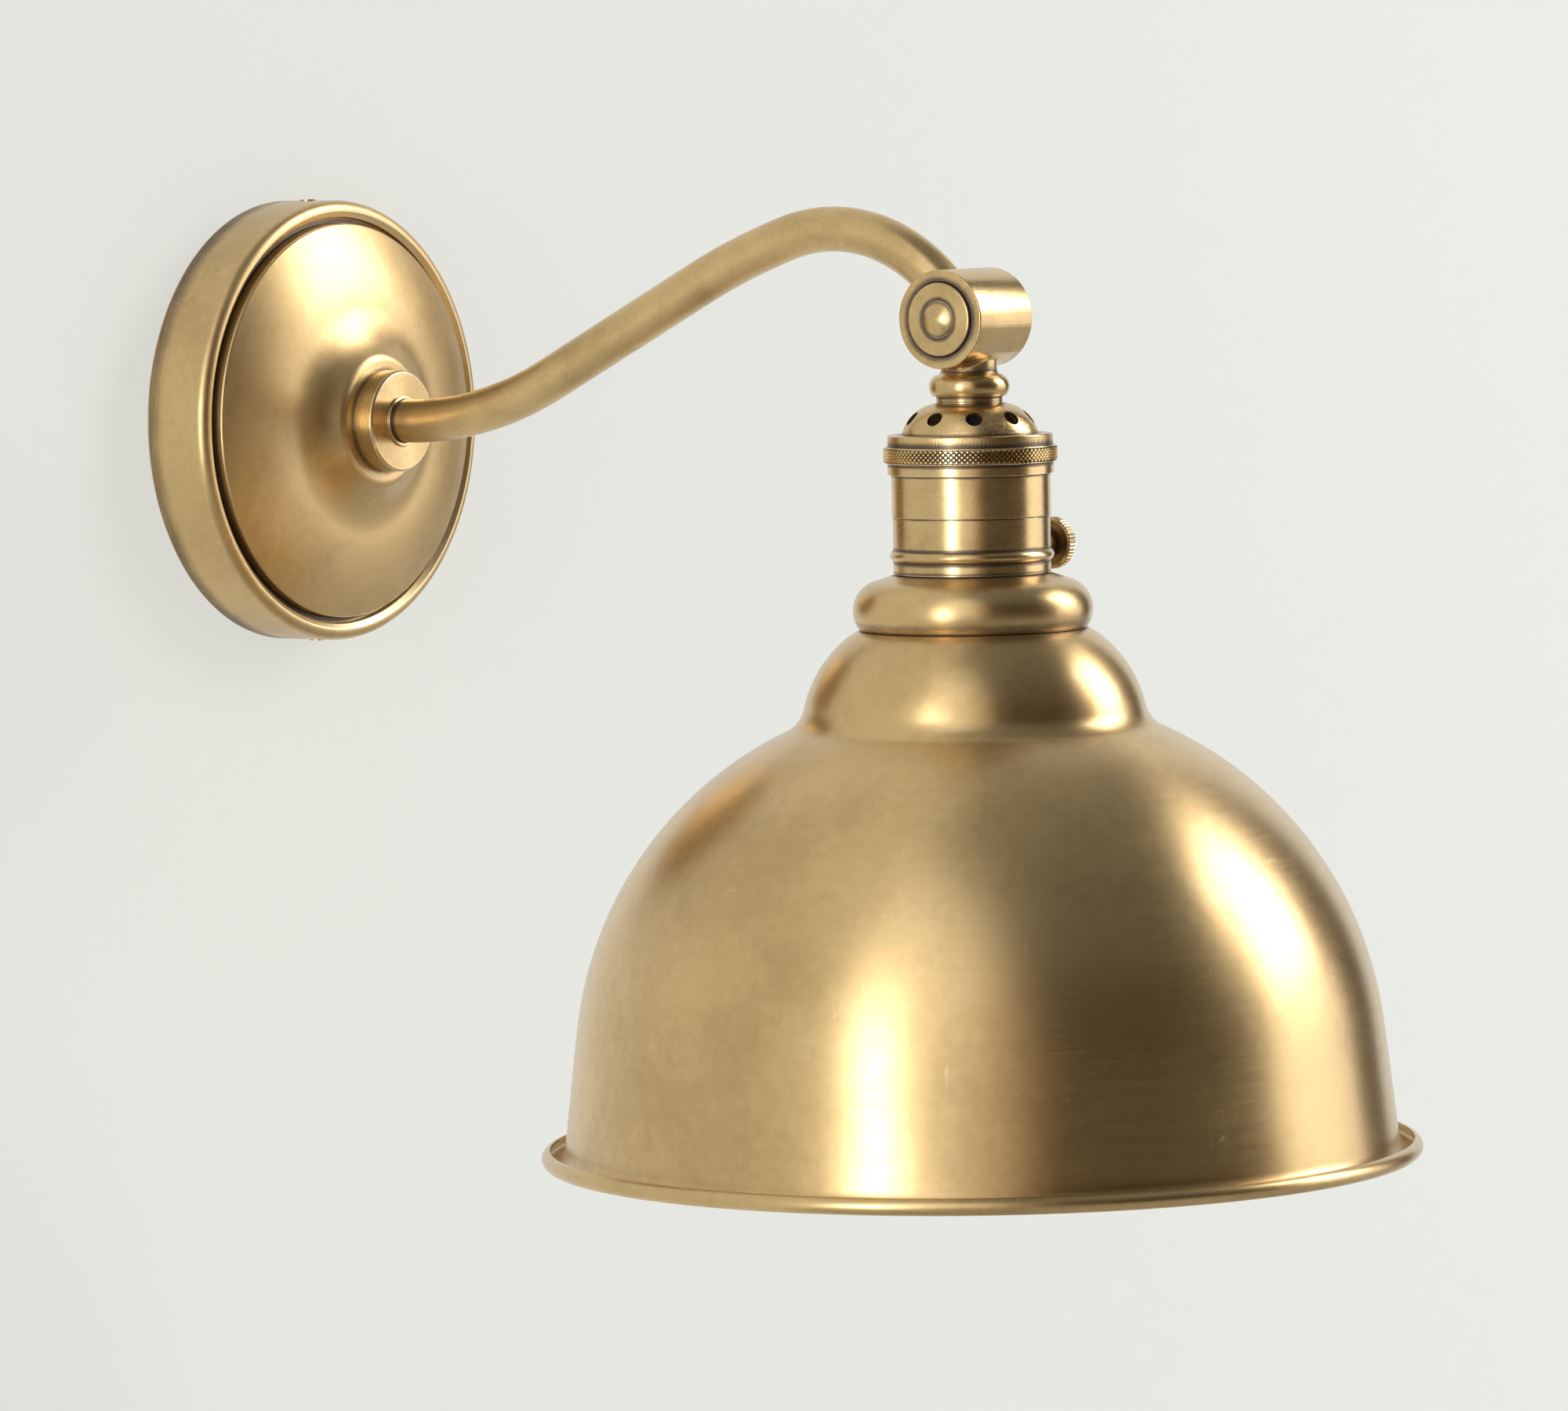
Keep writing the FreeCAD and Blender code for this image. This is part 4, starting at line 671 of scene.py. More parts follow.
SEED = [("Geometry", "NodeSocketGeometry", None)]
RESULT = [("Geometry", "NodeSocketGeometry")]
PLACED = [("Place", "NodeSocketVector", (0, 0, 0)), ("Turn", "NodeSocketRotation", (0, 0, 0)),
          ("Finish", "NodeSocketMaterial", None)]


def grown(name, tree, values, start=None):
    """Runs a geometry tree on a seed object and returns its result as a plain mesh object."""
    seed = start or put_in_scene(f"{name}_seed", bpy.data.meshes.new(f"{name}_seed"))
    modifier = seed.modifiers.new("grow", "NODES")
    modifier.node_group = tree
    for item in tree.interface.items_tree:
        if item.item_type == "SOCKET" and item.in_out == "INPUT" and item.name in values:
            modifier[item.identifier] = values[item.name]
    bpy.context.view_layer.update()
    mesh = bpy.data.meshes.new_from_object(seed.evaluated_get(bpy.context.evaluated_depsgraph_get()))
    mesh.name = name
    bpy.data.objects.remove(seed)
    if not mesh.polygons:
        raise RuntimeError(f"{name}: the tree made no faces")
    return put_in_scene(name, mesh)


def close_tree(n, entry, leave, geometry, placed=True):
    """Ends a tree: realised, turned into the row frame where it is placed, with its finish set."""
    last = n.out("GeometryNodeRealizeInstances", {"Geometry": geometry})
    if placed:
        last = n.out("GeometryNodeTransform", {"Geometry": last, "Translation": entry["Place"],
                                               "Rotation": entry["Turn"]})
    n.feed(leave[0], n.out("GeometryNodeSetMaterial", {"Geometry": last, "Material": entry["Finish"]}))


def studded(n, count, place, shape, lean):
    """A copy of a shape on each of a count of places, turned by the lean's angles."""
    points = n.out("GeometryNodeMeshLine", {"Count": count}, mode="OFFSET")
    points = n.out("GeometryNodeSetPosition", {"Geometry": points, "Position": place})
    turn = n.out("FunctionNodeEulerToRotation", {0: lean})
    return n.out("GeometryNodeInstanceOnPoints", {"Points": points, "Instance": shape, "Rotation": turn})


def diamond_tree():
    """Rows of small four-sided points round a band, each row half a step on from the last."""
    tree, n, entry, leave = new_group(GEOMETRY, "Diamond knurl", SEED + [
        ("Around", INT, 104), ("Rows", INT, 6), ("Radius", FLOAT, 0.0208), ("Row Step", FLOAT, 0.0006),
        ("Point Height", FLOAT, 0.0005), ("Half Width", FLOAT, 0.0006),
        ("Worn Flat", FLOAT, 0.5)] + PLACED, RESULT)
    around, rows, half = entry["Around"], entry["Rows"], entry["Half Width"]
    index = n.out("GeometryNodeInputIndex")
    row = n.math("FLOOR", n.over(n.plus(index, 0.5), around))
    column = n.minus(index, n.times(row, around))
    offset = n.times(n.math("MODULO", row, 2.0), 0.5)
    angle = n.times(n.over(n.plus(column, offset), around), math.tau)
    level = n.times(n.minus(row, n.times(n.minus(rows, 1.0), 0.5)), entry["Row Step"])
    point = n.out("GeometryNodeMeshCone", {
        "Vertices": 4, "Radius Bottom": half, "Radius Top": n.times(half, entry["Worn Flat"]),
        "Depth": entry["Point Height"]}, "Mesh", fill_type="NGON")
    place = n.round_axis(angle, entry["Radius"], level)
    stood = studded(n, n.times(around, rows), place, point, n.joined(0.0, math.pi / 2, angle))
    close_tree(n, entry, leave, stood)
    return tree


def rib_tree():
    """Straight ribs along the Z axis, evenly round a rim."""
    tree, n, entry, leave = new_group(GEOMETRY, "Straight knurl", SEED + [
        ("Around", INT, 52), ("Radius", FLOAT, 0.0065), ("Length", FLOAT, 0.0022),
        ("Rib", FLOAT, 0.00034)] + PLACED, RESULT)
    angle = n.times(n.over(n.out("GeometryNodeInputIndex"), entry["Around"]), math.tau)
    rib = n.out("GeometryNodeMeshCylinder", {"Vertices": 6, "Radius": entry["Rib"], "Depth": entry["Length"]},
                "Mesh", fill_type="NGON")
    place = n.round_axis(angle, entry["Radius"])
    close_tree(n, entry, leave, studded(n, entry["Around"], place, rib, n.joined(0.0, 0.0, angle)))
    return tree


def thread_tree():
    """A skin whose radius follows a screw thread."""
    tree, n, entry, leave = new_group(GEOMETRY, "Screw thread", SEED + [
        ("Radius", FLOAT, 0.0133), ("Depth", FLOAT, 0.0005), ("Pitch", FLOAT, 0.0036),
        ("Length", FLOAT, 0.02), ("Around", INT, 97), ("Along", INT, 90)] + PLACED, RESULT)
    sheet = n.out("GeometryNodeMeshGrid", {"Size X": 1.0, "Size Y": 1.0, "Vertices X": entry["Around"],
                                           "Vertices Y": entry["Along"]}, "Mesh")
    across, along, _ = n.split(n.out("GeometryNodeInputPosition"))
    angle = n.times(across, math.tau)
    level = n.times(along, entry["Length"])
    phase = n.minus(n.times(n.over(level, entry["Pitch"]), math.tau), angle)
    radius = n.plus(entry["Radius"], n.times(n.math("COSINE", phase), entry["Depth"]))
    place = n.round_axis(angle, radius, level)
    sheet = n.out("GeometryNodeSetPosition", {"Geometry": sheet, "Position": place})
    sheet = n.out("GeometryNodeMergeByDistance", {"Geometry": sheet, "Distance": 1e-6})
    close_tree(n, entry, leave, n.out("GeometryNodeSetShadeSmooth", {"Geometry": sheet}))
    return tree


def tube_tree():
    """A round tube along a path, with its brushing directions stored on it."""
    tree, n, entry, leave = new_group(GEOMETRY, "Tube along a path", SEED + [
        ("Radius", FLOAT, TUBE_MM * MM), ("Around", INT, 64), ("Finish", "NodeSocketMaterial", None)], RESULT)

    def captured(label, kind, geometry, value):
        node = n.add("GeometryNodeCaptureAttribute")
        node.capture_items.new(kind, label)
        n.fill(node.inputs, {"Geometry": geometry, 1: value})
        return node.outputs["Geometry"], node.outputs[1]

    radius = entry["Radius"]
    ring = n.out("GeometryNodeCurvePrimitiveCircle", {"Resolution": entry["Around"], "Radius": radius},
                 "Curve", mode="RADIUS")
    ring, across = captured("Across", "VECTOR", ring, n.out("GeometryNodeInputPosition"))
    path, along = captured("Along", "FLOAT", entry["Geometry"],
                           n.out("GeometryNodeSplineParameter", None, "Length"))
    last = n.out("GeometryNodeCurveToMesh", {"Curve": path, "Profile Curve": ring, "Fill Caps": True})
    x, y, _ = n.split(across)
    grain = n.joined(n.over(x, radius), n.over(y, radius), n.times(along, 1 / MM))
    for label, kind, value in (("grain", "FLOAT_VECTOR", grain), ("rub", "FLOAT", 0.0)):
        last = n.out("GeometryNodeStoreNamedAttribute", {"Geometry": last, "Name": label, "Value": value},
                     data_type=kind, domain="POINT")
    close_tree(n, entry, leave, n.out("GeometryNodeSetShadeSmooth", {"Geometry": last}), placed=False)
    return tree


TREE_MAKERS = {"diamonds": diamond_tree, "ribs": rib_tree, "thread": thread_tree, "tube": tube_tree}
TREES = {}


def tree_for(name):
    if name not in TREES:
        TREES[name] = TREE_MAKERS[name]()
    return TREES[name]


def grown_on(name, tree, axis, height_mm, values, look, body, slot):
    """A grown piece round one of the axes at a height, with its finish; knurls are rubbed at their tops,
    which lightens them as wear and as a painted highlight.
    """
    axis = axis @ Matrix.Translation((0, 0, height_mm))
    piece = grown(name, tree_for(tree), {
        **values, "Place": tuple(axis.to_translation() * MM), "Turn": tuple(axis.to_3x3().to_euler()),
        "Finish": finish(look)})
    verts = piece.data.vertices
    store(piece.data, "grain", [tuple(vert.co / MM) for vert in verts])
    rubbed = [0.0] * len(verts)
    if tree != "thread":
        back = axis.inverted()
        radii = [math.hypot(*(back @ (vert.co / MM))[:2]) for vert in verts]
        top, foot = max(radii), min(radii)
        rubbed = [(radius - foot) / (top - foot) * 0.9 for radius in radii]
    store(piece.data, "rub", rubbed)
    finish_piece(piece, look, body, slot)


# Properties: the sizes and colours that a user would change

def colour_property(name, description, default):
    return bpy.props.FloatVectorProperty(name=name, description=description, subtype="COLOR", size=3,
                                         default=default, min=0, max=1)


def power_property(name, description, default):
    return bpy.props.FloatProperty(name=name, description=description, default=default, min=0, unit="POWER")


def level_property(name, description, default):
    return bpy.props.FloatProperty(name=name, description=description, default=default, min=0, max=4)


class SconceFinish(bpy.types.PropertyGroup):
    metal: colour_property("Brass", "Colour of the open brass", (0.68, 0.48, 0.225))
    toned: colour_property("Toned brass", "Colour of the brass where it has toned down", (0.54, 0.37, 0.165))
    # The patina colour also paints the shade that falls in the creases.
    patina: colour_property("Patina", "Colour of the patina in the creases", (0.085, 0.062, 0.055))
    roughness: bpy.props.FloatProperty(name="Roughness", description="How soft the brushed brass reflects",
                                       subtype="FACTOR", default=0.26, min=0.05, max=0.9)


class SconceShape(bpy.types.PropertyGroup):
    segments: bpy.props.IntProperty(
        name="Segments", description="Divisions round each turned piece", default=128, min=32, max=400)
    ring_diamonds: bpy.props.IntProperty(
        name="Ring knurl", description="Diamonds round the knurled ring", default=100, min=20, max=200)
    knob_ribs: bpy.props.IntProperty(
        name="Knob knurl", description="Ribs round the turn knob", default=46, min=12, max=120)
    # The crease reach sets how far the patina and the painted shade spread from a crease.
    crease_reach: bpy.props.FloatProperty(
        name="Crease reach", description="How far patina creeps out of a crease, in millimetres",
        default=3.2, min=0.2, max=10)


class SconceLight(bpy.types.PropertyGroup):
    window: power_property("Side window", "Power of the tall light on the open side", 36.0)
    low_window: power_property("Low window", "Power of the wide dim light under the side window", 7.5)
    strip: power_property("Front strip", "Power of the narrow light near the camera", 9.0)
    panel: power_property("Front panel", "Power of the soft light round the front strip", 8.0)
    fill: level_property("Room light", "Strength of the plain light from all round", 0.05)
    ceiling: level_property("Ceiling", "Strength of the plain light from above", 0.24)
    side: level_property("Pale side", "Strength of the light from the pale side of the room", 1.3)
    wall: colour_property("Wall", "Colour of the wall", (0.855, 0.865, 0.822))
    floor: colour_property("Floor", "Colour of the floor", (0.80, 0.80, 0.775))


# Pieces

def segments():
    return bpy.context.scene.sconce_shape.segments


def canopy_profile():
    """Hub and dome, then the groove, the lip and the drum down to the wall, and back inside."""
    bends = [run(15.2 - 4.6), bend(3.2, -45), bend(19.65, 39), bend(71.0, -17.5)]
    outline = Profile(4.6, 31.7).bent(0, bends).bent(-23.5, [bend(0.8, -66.5)])
    outline.line((50.8, 15.8), (52.3, 15.8), (52.3, 17.6), (53.7, 18.5), (54.1, 18.5))
    outline.arc(56.6, 16.0, 2.5, RIGHT).line((56.6, 0.0), (55.4, 0.0), (55.4, 14.6), (49.6, 14.6))
    return outline.line(*reversed(Profile(4.6, 30.5).bent(0, bends, 1.2).points))


def shade_profile():
    """Top, small dome, crease, large dome, flare and rolled rim, and back inside."""
    bends = [run(27.45 - 18.7), bend(3.0, -28), bend(15.0, -11.1), bend(30.5, -38.4), bend(8.0, 52.6),
             bend(91.8, -56.2), bend(180.0, -2.2), run(24.6), bend(5.0, 65), bend(1.2, 97), bend(1.2, 97)]
    outline = Profile(18.7, -75.95).bent(0, bends)
    return outline.line(*reversed(Profile(18.7, -76.85).bent(0, bends, 0.9).points))


def arm_points():
    """The arm's middle line as (out from the wall, up), in millimetres."""
    rise, fall = math.radians(27.0), math.radians(-46.1)
    end = (REACH_MM - 5.2 * math.cos(fall), KNUCKLE_MM - 5.2 * math.sin(fall))

    def walk(slope, last):
        return Profile(31.7, 0.0).bent(0.0, (
            run(8.5), bend(100.0, 27.0), run(slope), bend(184.6, -9.25), bend(44.3, -63.85), run(last)),
            run_mm=2, steps=(4, math.inf, 1.2)).points

    short = walk(0.0, 0.0)[-1]
    out, up = end[0] - short[0], end[1] - short[1]
    area = math.cos(rise) * math.sin(fall) - math.sin(rise) * math.cos(fall)
    line = walk((out * math.sin(fall) - up * math.cos(fall)) / area,
                (math.cos(rise) * up - math.sin(rise) * out) / area)
    if math.dist(line[-1], end) > 0.01:
        raise RuntimeError("the arm doesn't reach the knuckle")
    return line


class SCONCE_OT_canopy(bpy.types.Operator):
    """Builds the pressed canopy, its set screws and what lies behind it"""
    bl_idname = "sconce.canopy"
    bl_label = "Canopy"

    def execute(self, context):
        dress_turned(WALL_AXIS, 192, 0.22, 1.8, BASE_BODY, [
            ("canopy_dish", canopy_profile(), "canopy", "canopy", "aged_brass")], 2.2)
        dress_copies(BASE_BODY, [
            ("canopy_set_screws", "turned", "aged_brass"), ("ground_screw", "green", "ground_green"),
            ("mounting_bracket", "zinc", "zinc_steel"), ("arm_lock_washer", "zinc", "zinc_steel"),
            ("arm_locknut", "zinc", "zinc_steel"), ("arm_nipple", "bright", "bright_brass")])
        return {"FINISHED"}


class SCONCE_OT_arm(bpy.types.Operator):
    """Builds the bent arm and the collar that it stands in"""
    bl_idname = "sconce.arm"
    bl_label = "Arm and collar"

    def execute(self, context):
        collar = Profile(5.6, 31.7).line((13.0, 31.7), (13.0, 37.2), (12.5, 37.7), (6.5, 37.7), (6.5, 38.4),
                                         (5.6, 38.4))
        dress_turned(WALL_AXIS, segments(), 0.15, 0.8, BASE_BODY, [("collar_turned", collar, "arm_collar")])
        curve = bpy.data.curves.new("arm_line", "CURVE")
        curve.dimensions = "3D"
        spline = curve.splines.new("POLY")
        points = arm_points()
        spline.points.add(len(points) - 1)
        for number, (out, up) in enumerate(points):
            spline.points[number].co = (0, -out * MM, up * MM, 1)
        piece = grown("arm_drawn", tree_for("tube"), {
            "Radius": TUBE_MM * MM, "Around": 72, "Finish": finish("tube")}, put_in_scene("arm_line", curve))
        layer = piece.data.uv_layers.new(name="brushing")
        grain = piece.data.attributes["grain"].data

        def spot(index):
            x, y, along = grain[index].vector
            return math.atan2(y, x), along * 0.02

        layer.data.foreach_set("uv", [number for pair in unwrapped(piece.data, spot) for number in pair])
        finish_piece(piece, "tube", BASE_BODY, "aged_brass", "arm_tube")
        piece = cad_copy("core_turned", "pivot_core", (1, 0.06, 0.06), round_pivot=True)
        finish_piece(piece, "turned", BASE_BODY, "bright_brass", "pivot_core")
        return {"FINISHED"}


class SCONCE_OT_knuckle(bpy.types.Operator):
    """Builds the knuckle barrel, its cap disc, screw and end plug"""
    bl_idname = "sconce.knuckle"
    bl_label = "Knuckle"

    def execute(self, context):
        piece = cad_copy("barrel_turned", "knuckle_barrel", (0.05, 1, 1), 28, round_pivot=True)
        finish_piece(piece, "barrel", HEAD_BODY, "aged_brass", "knuckle_barrel")
        disc = Profile(2.45, -13.0).line((8.45, -13.0)).arc(9.05, -12.4, 0.6, LEFT)
        disc.line((9.05, -11.2), (2.45, -11.2))
        screw = Profile(0, -14.7).arc(4.6, -13.0, 7.2, LEFT).line((2.4, -13.0), (2.4, 10.0), (0, 10.0))
        washer = Profile(2.45, -11.2).line((9.05, -11.2), (9.05, -10.3), (2.45, -10.3))
        plug = Profile(2.45, 8.2).line((10.49, 8.2), (10.49, 10.0), (2.45, 10.0))
        dress_turned(PIVOT_AXIS, 96, 0.12, 0.6, HEAD_BODY, [
            ("cap_disc_turned", disc, "pivot_cap_disc"), ("button_turned", screw, "pivot_screw"),
            ("spring_washer_pressed", washer, "pivot_spring_washer", "zinc", "zinc_steel"),
            ("end_plug_turned", plug, "barrel_end_plug")])
        return {"FINISHED"}


class SCONCE_OT_cap(bpy.types.Operator):
    """Builds the beaded coupling and the vented cap under it"""
    bl_idname = "sconce.cap"
    bl_label = "Coupling and vented cap"

    def execute(self, context):
        bead = Profile(4.6, -12.95).line((6.85, -12.95)).arc(8.0, -13.8, 1.4, LEFT)
        bead.arc(9.85, -16.6, 3.05, RIGHT).arc(9.0, -19.0, 3.8, RIGHT)
        bead.line((8.1, -19.0), (8.1, -20.75), (4.6, -20.75))
        dress_turned(HEAD_AXIS, segments(), 0.14, 0.6, HEAD_BODY, [
            ("coupling_turned", bead, "neck_coupling")])
        piece = cad_copy("cap_pressed", "socket_cap", (0.05, 0.05, 3), 30)
        finish_piece(piece, "turned", HEAD_BODY, "aged_brass", "socket_cap")
        dress_copies(HEAD_BODY, [
            # The cap's washer and nut take the near-black zinc, painted shade inside the cap
            ("cap_nipple", "bright", "bright_brass"), ("cap_lock_washer", "cap_shade_zinc", "zinc_steel"),
            ("cap_locknut", "cap_shade_zinc", "zinc_steel")])
        return {"FINISHED"}


class SCONCE_OT_socket(bpy.types.Operator):
    """Builds the knurled ring, the shell with its seam and the ribbed sleeve"""
    bl_idname = "sconce.socket"
    bl_label = "Socket"

    def execute(self, context):
        ring = Profile(19.5, -31.1).line((20.85, -31.1), (20.95, -31.4), (20.72, -31.55), (20.72, -34.75),
                                         (20.95, -34.9), (20.85, -35.2), (20.3, -35.2), (20.3, -37.95),
                                         (19.5, -37.95))
        shell = Profile(18.65, -31.6).line((19.45, -31.6), (19.45, -48.3), (18.65, -48.3))
        sleeve = Profile(17.6, -44.5).line((18.6, -44.5), (18.6, -48.45), (19.25, -48.45), (19.25, -56.35))
        sleeve.arc(20.1, -57.75, 1.9, RIGHT).arc(19.25, -59.15, 1.9, RIGHT)
        sleeve.line((19.25, -62.2), (18.2, -62.2), (18.2, -83.5), (17.6, -83.5))
        dress_turned(HEAD_AXIS, 160, 0.13, 0.8, HEAD_BODY, [
            ("ring_turned", ring, "knurled_ring"), ("shell_drawn", shell, "socket_shell"),
            ("sleeve_drawn", sleeve, "lower_sleeve")])
        grown_on("ring_knurl", "diamonds", HEAD_AXIS, -33.15, {
            "Around": context.scene.sconce_shape.ring_diamonds, "Rows": 5, "Radius": 20.60 * MM,
            "Row Step": 0.62 * MM, "Point Height": 0.64 * MM, "Half Width": 0.64 * MM},
            "knurl", HEAD_BODY, "aged_brass")
        grown_on("sleeve_thread", "thread", HEAD_AXIS, -73.0, {
            "Radius": 18.4 * MM, "Depth": 0.2 * MM, "Pitch": 1.0 * MM, "Length": 20.8 * MM, "Around": 97,
            "Along": 168}, "bright", HEAD_BODY, "bright_brass")
        return {"FINISHED"}


class SCONCE_OT_lampholder(bpy.types.Operator):
    """Builds the glazed lampholder, its screw shell and its contacts"""
    bl_idname = "sconce.lampholder"
    bl_label = "Lampholder"

    def execute(self, context):
        dress_copies(HEAD_BODY, [
            ("insulating_liner", "fibre", "fibre"), ("lampholder_body", "porcelain", "insulator"),
            ("lamp_screw_shell", "bright", "bright_brass"), ("centre_contact", "bright", "bright_brass"),
            ("terminal_screws", "bright", "bright_brass")])
        grown_on("lamp_thread", "thread", HEAD_AXIS, -71.6, {
            "Radius": 13.0 * MM, "Depth": 0.35 * MM, "Pitch": 3.6 * MM, "Length": 20.5 * MM, "Around": 97,
            "Along": 90}, "bright", HEAD_BODY, "bright_brass")
        return {"FINISHED"}


class SCONCE_OT_knob(bpy.types.Operator):
    """Builds the turn knob with its knurled rim, the spindle, the bushing and its nut"""
    bl_idname = "sconce.knob"
    bl_label = "Turn knob"

    def execute(self, context):
        bushing = Profile(1.7, 14.0).line((3.4, 14.0), (3.4, 26.0), (1.7, 26.0))
        nut = Profile(3.45, 20.15).line((4.6, 20.15), (4.6, 21.55), (3.45, 21.55))
        spindle = Profile(0, 6.0).line((1.5, 6.0), (1.5, 36.0), (0, 36.0))
        knob = Profile(1.55, 30.4).line((3.0, 30.4), (3.0, 33.4), (5.85, 33.4), (6.2, 33.7), (6.2, 36.1),
                                        (5.85, 36.4), (1.55, 36.4))
        dress_turned(SWITCH_AXIS, 72, 0.1, 0.6, HEAD_BODY, [
            ("bushing_turned", bushing, "switch_bushing", "knob", "aged_brass"),
            ("bushing_nut_turned", nut, "bushing_nut", "knob", "aged_brass")])
        dress_turned(SWITCH_AXIS, 72, 0.1, 0.6, KNOB_BODY, [
            ("spindle_turned", spindle, "switch_spindle", "knob", "aged_brass"),
            ("knob_turned", knob, "turn_knob", "knob", "aged_brass")])
        grown_on("knob_knurl", "ribs", SWITCH_AXIS, 34.9, {
            "Around": context.scene.sconce_shape.knob_ribs, "Radius": 6.2 * MM, "Length": 2.4 * MM,
            "Rib": 0.30 * MM}, "knurl", KNOB_BODY, "aged_brass")
        return {"FINISHED"}


class SCONCE_OT_shade(bpy.types.Operator):
    """Builds the spun bell shade, its neck ring and its clamp ring"""
    bl_idname = "sconce.shade"
    bl_label = "Shade"

    def execute(self, context):
        neck = Profile(18.7, -62.2).line((24.5, -64.1)).arc(29.35, -71.0, 7.4, RIGHT)
        neck.arc(27.6, -75.9, 7.4, RIGHT).line((26.6, -75.9)).arc(28.35, -71.0, 6.4, LEFT)
        neck.arc(24.167, -65.1, 6.4, LEFT).line((18.7, -63.2))
        clamp = Profile(18.7, -76.9).line((24.0, -76.9), (24.0, -80.4), (23.5, -80.9), (18.7, -80.9))
        for count, row in ((200, ("shade_spun", shade_profile(), "shade", "spun", "aged_brass")),
                           (160, ("neck_ring_spun", neck, "shade_neck_ring", "spun", "aged_brass")),
                           (segments(), ("clamp_ring_turned", clamp, "shade_clamp_ring"))):
            dress_turned(HEAD_AXIS, count, 0.2, 1.8, HEAD_BODY, [row], 2.5)
        return {"FINISHED"}


class SCONCE_OT_patina_and_shade(bpy.types.Operator):
    """Marks the creases of every brass piece, where the patina and the painted shade lie"""
    bl_idname = "sconce.weather"
    bl_label = "Creases"

    def execute(self, context):
        crease_marks(context.scene.sconce_shape.crease_reach * MM)
        return {"FINISHED"}


# Stage

STAGE_HALF = 4.0            # half the wall's and the floor's width
WALL_OFF = 0.0004           # the wall's paint behind the canopy's rim
WALL_HOLE = 0.052           # radius of the hole behind the canopy
HOLE_SIDES = 64
FLOOR_LEVEL = -0.75
LIGHTS_AIM = (0, -0.2, -0.05)
PALE_SIDE = (-0.995, -0.10, 0.0)    # the way to the room's pale side
# Name, its property, place, width and height
LAMPS = (("side_window", "window", (1.86, -1.63, 1.10), 1.15, 1.45),
         ("low_window", "low_window", (2.036, -1.814, -0.08), 1.9, 0.85),
         ("front_strip", "strip", (-2.39, -0.44, 0.0), 0.35, 1.1),
         ("front_panel", "panel", (-2.41, -0.44, 0.1), 0.8, 2.0))
# The photograph's view, as solved from it
VIEW_LENS = 189.189
VIEW_PLACE = (-1.658984, -1.34666, 0.078807)
VIEW_RIGHT = (0.5818347, -0.8131008, -0.0183183)
VIEW_UP = (0.0696993, 0.0274094, 0.9971914)
VIEW_BACK = (-0.8103150, -0.5814773, 0.0726203)


def stage_sheet(name, verts, faces, normal):
    """A large flat sheet whose faces point along the normal."""
    mesh = bpy.data.meshes.new(name)
    mesh.from_pydata(verts, [], faces)
    if Vector(mesh.polygons[0].normal).dot(Vector(normal)) < 0:
        mesh.flip_normals()
    return put_in_scene(name, mesh)


def wall_sheet():
    """The wall, with a round hole behind the canopy."""
    inner, outer, faces = [], [], []
    for step in range(HOLE_SIDES):
        angle = math.tau * step / HOLE_SIDES
        c, s = math.cos(angle), math.sin(angle)
        reach = STAGE_HALF / max(abs(c), abs(s))
        inner.append((WALL_HOLE * c, WALL_OFF, WALL_HOLE * s))
        outer.append((reach * c, WALL_OFF, reach * s))
        after = (step + 1) % HOLE_SIDES
        faces.append((step, after, HOLE_SIDES + after, HOLE_SIDES + step))
    return stage_sheet("stage_wall", inner + outer, faces, (0, -1, 0))


def floor_sheet():
    corners = [(x * STAGE_HALF, y * STAGE_HALF, FLOOR_LEVEL) for x, y in ((-1, -1), (1, -1), (1, 1), (-1, 1))]
    return stage_sheet("stage_floor", corners, [(0, 1, 2, 3)], (0, 0, 1))


def stage_material(title, colour, glow, in_metal):
    """Plain pale paint that can't be seen from behind, and keeps its tone in the view and in the metal."""
    material, n, skin = new_material(title)
    shade = tuple(channel * 0.985 for channel in colour[:3]) + (1,)
    n.fill(skin.inputs, {
        "Base Color": n.mix(n.noise(n.position(), 9.0, 4.0, 0.55), colour, shade), "Roughness": 0.9,
        "Specular IOR Level": 0.2, "Normal": n.bump(n.noise(n.position(), 140.0, 4.0, 0.6), 0.12, 0.001)})
    path = n.add("ShaderNodeLightPath").outputs
    camera = path["Is Camera Ray"]
    pale = n.out("ShaderNodeEmission", {"Color": n.mix(camera, in_metal, colour), "Strength": 1.0})
    seen = n.most(camera, n.most(path["Is Glossy Ray"], path["Is Transmission Ray"]))
    shown = n.mix_shaders(n.times(seen, glow), skin.outputs[0], pale)
    behind = n.out("ShaderNodeNewGeometry", None, "Backfacing")
    shown = n.mix_shaders(behind, shown, n.out("ShaderNodeBsdfTransparent"))
    n.feed(material.node_tree.nodes["Material Output"].inputs[0], shown)
    return material


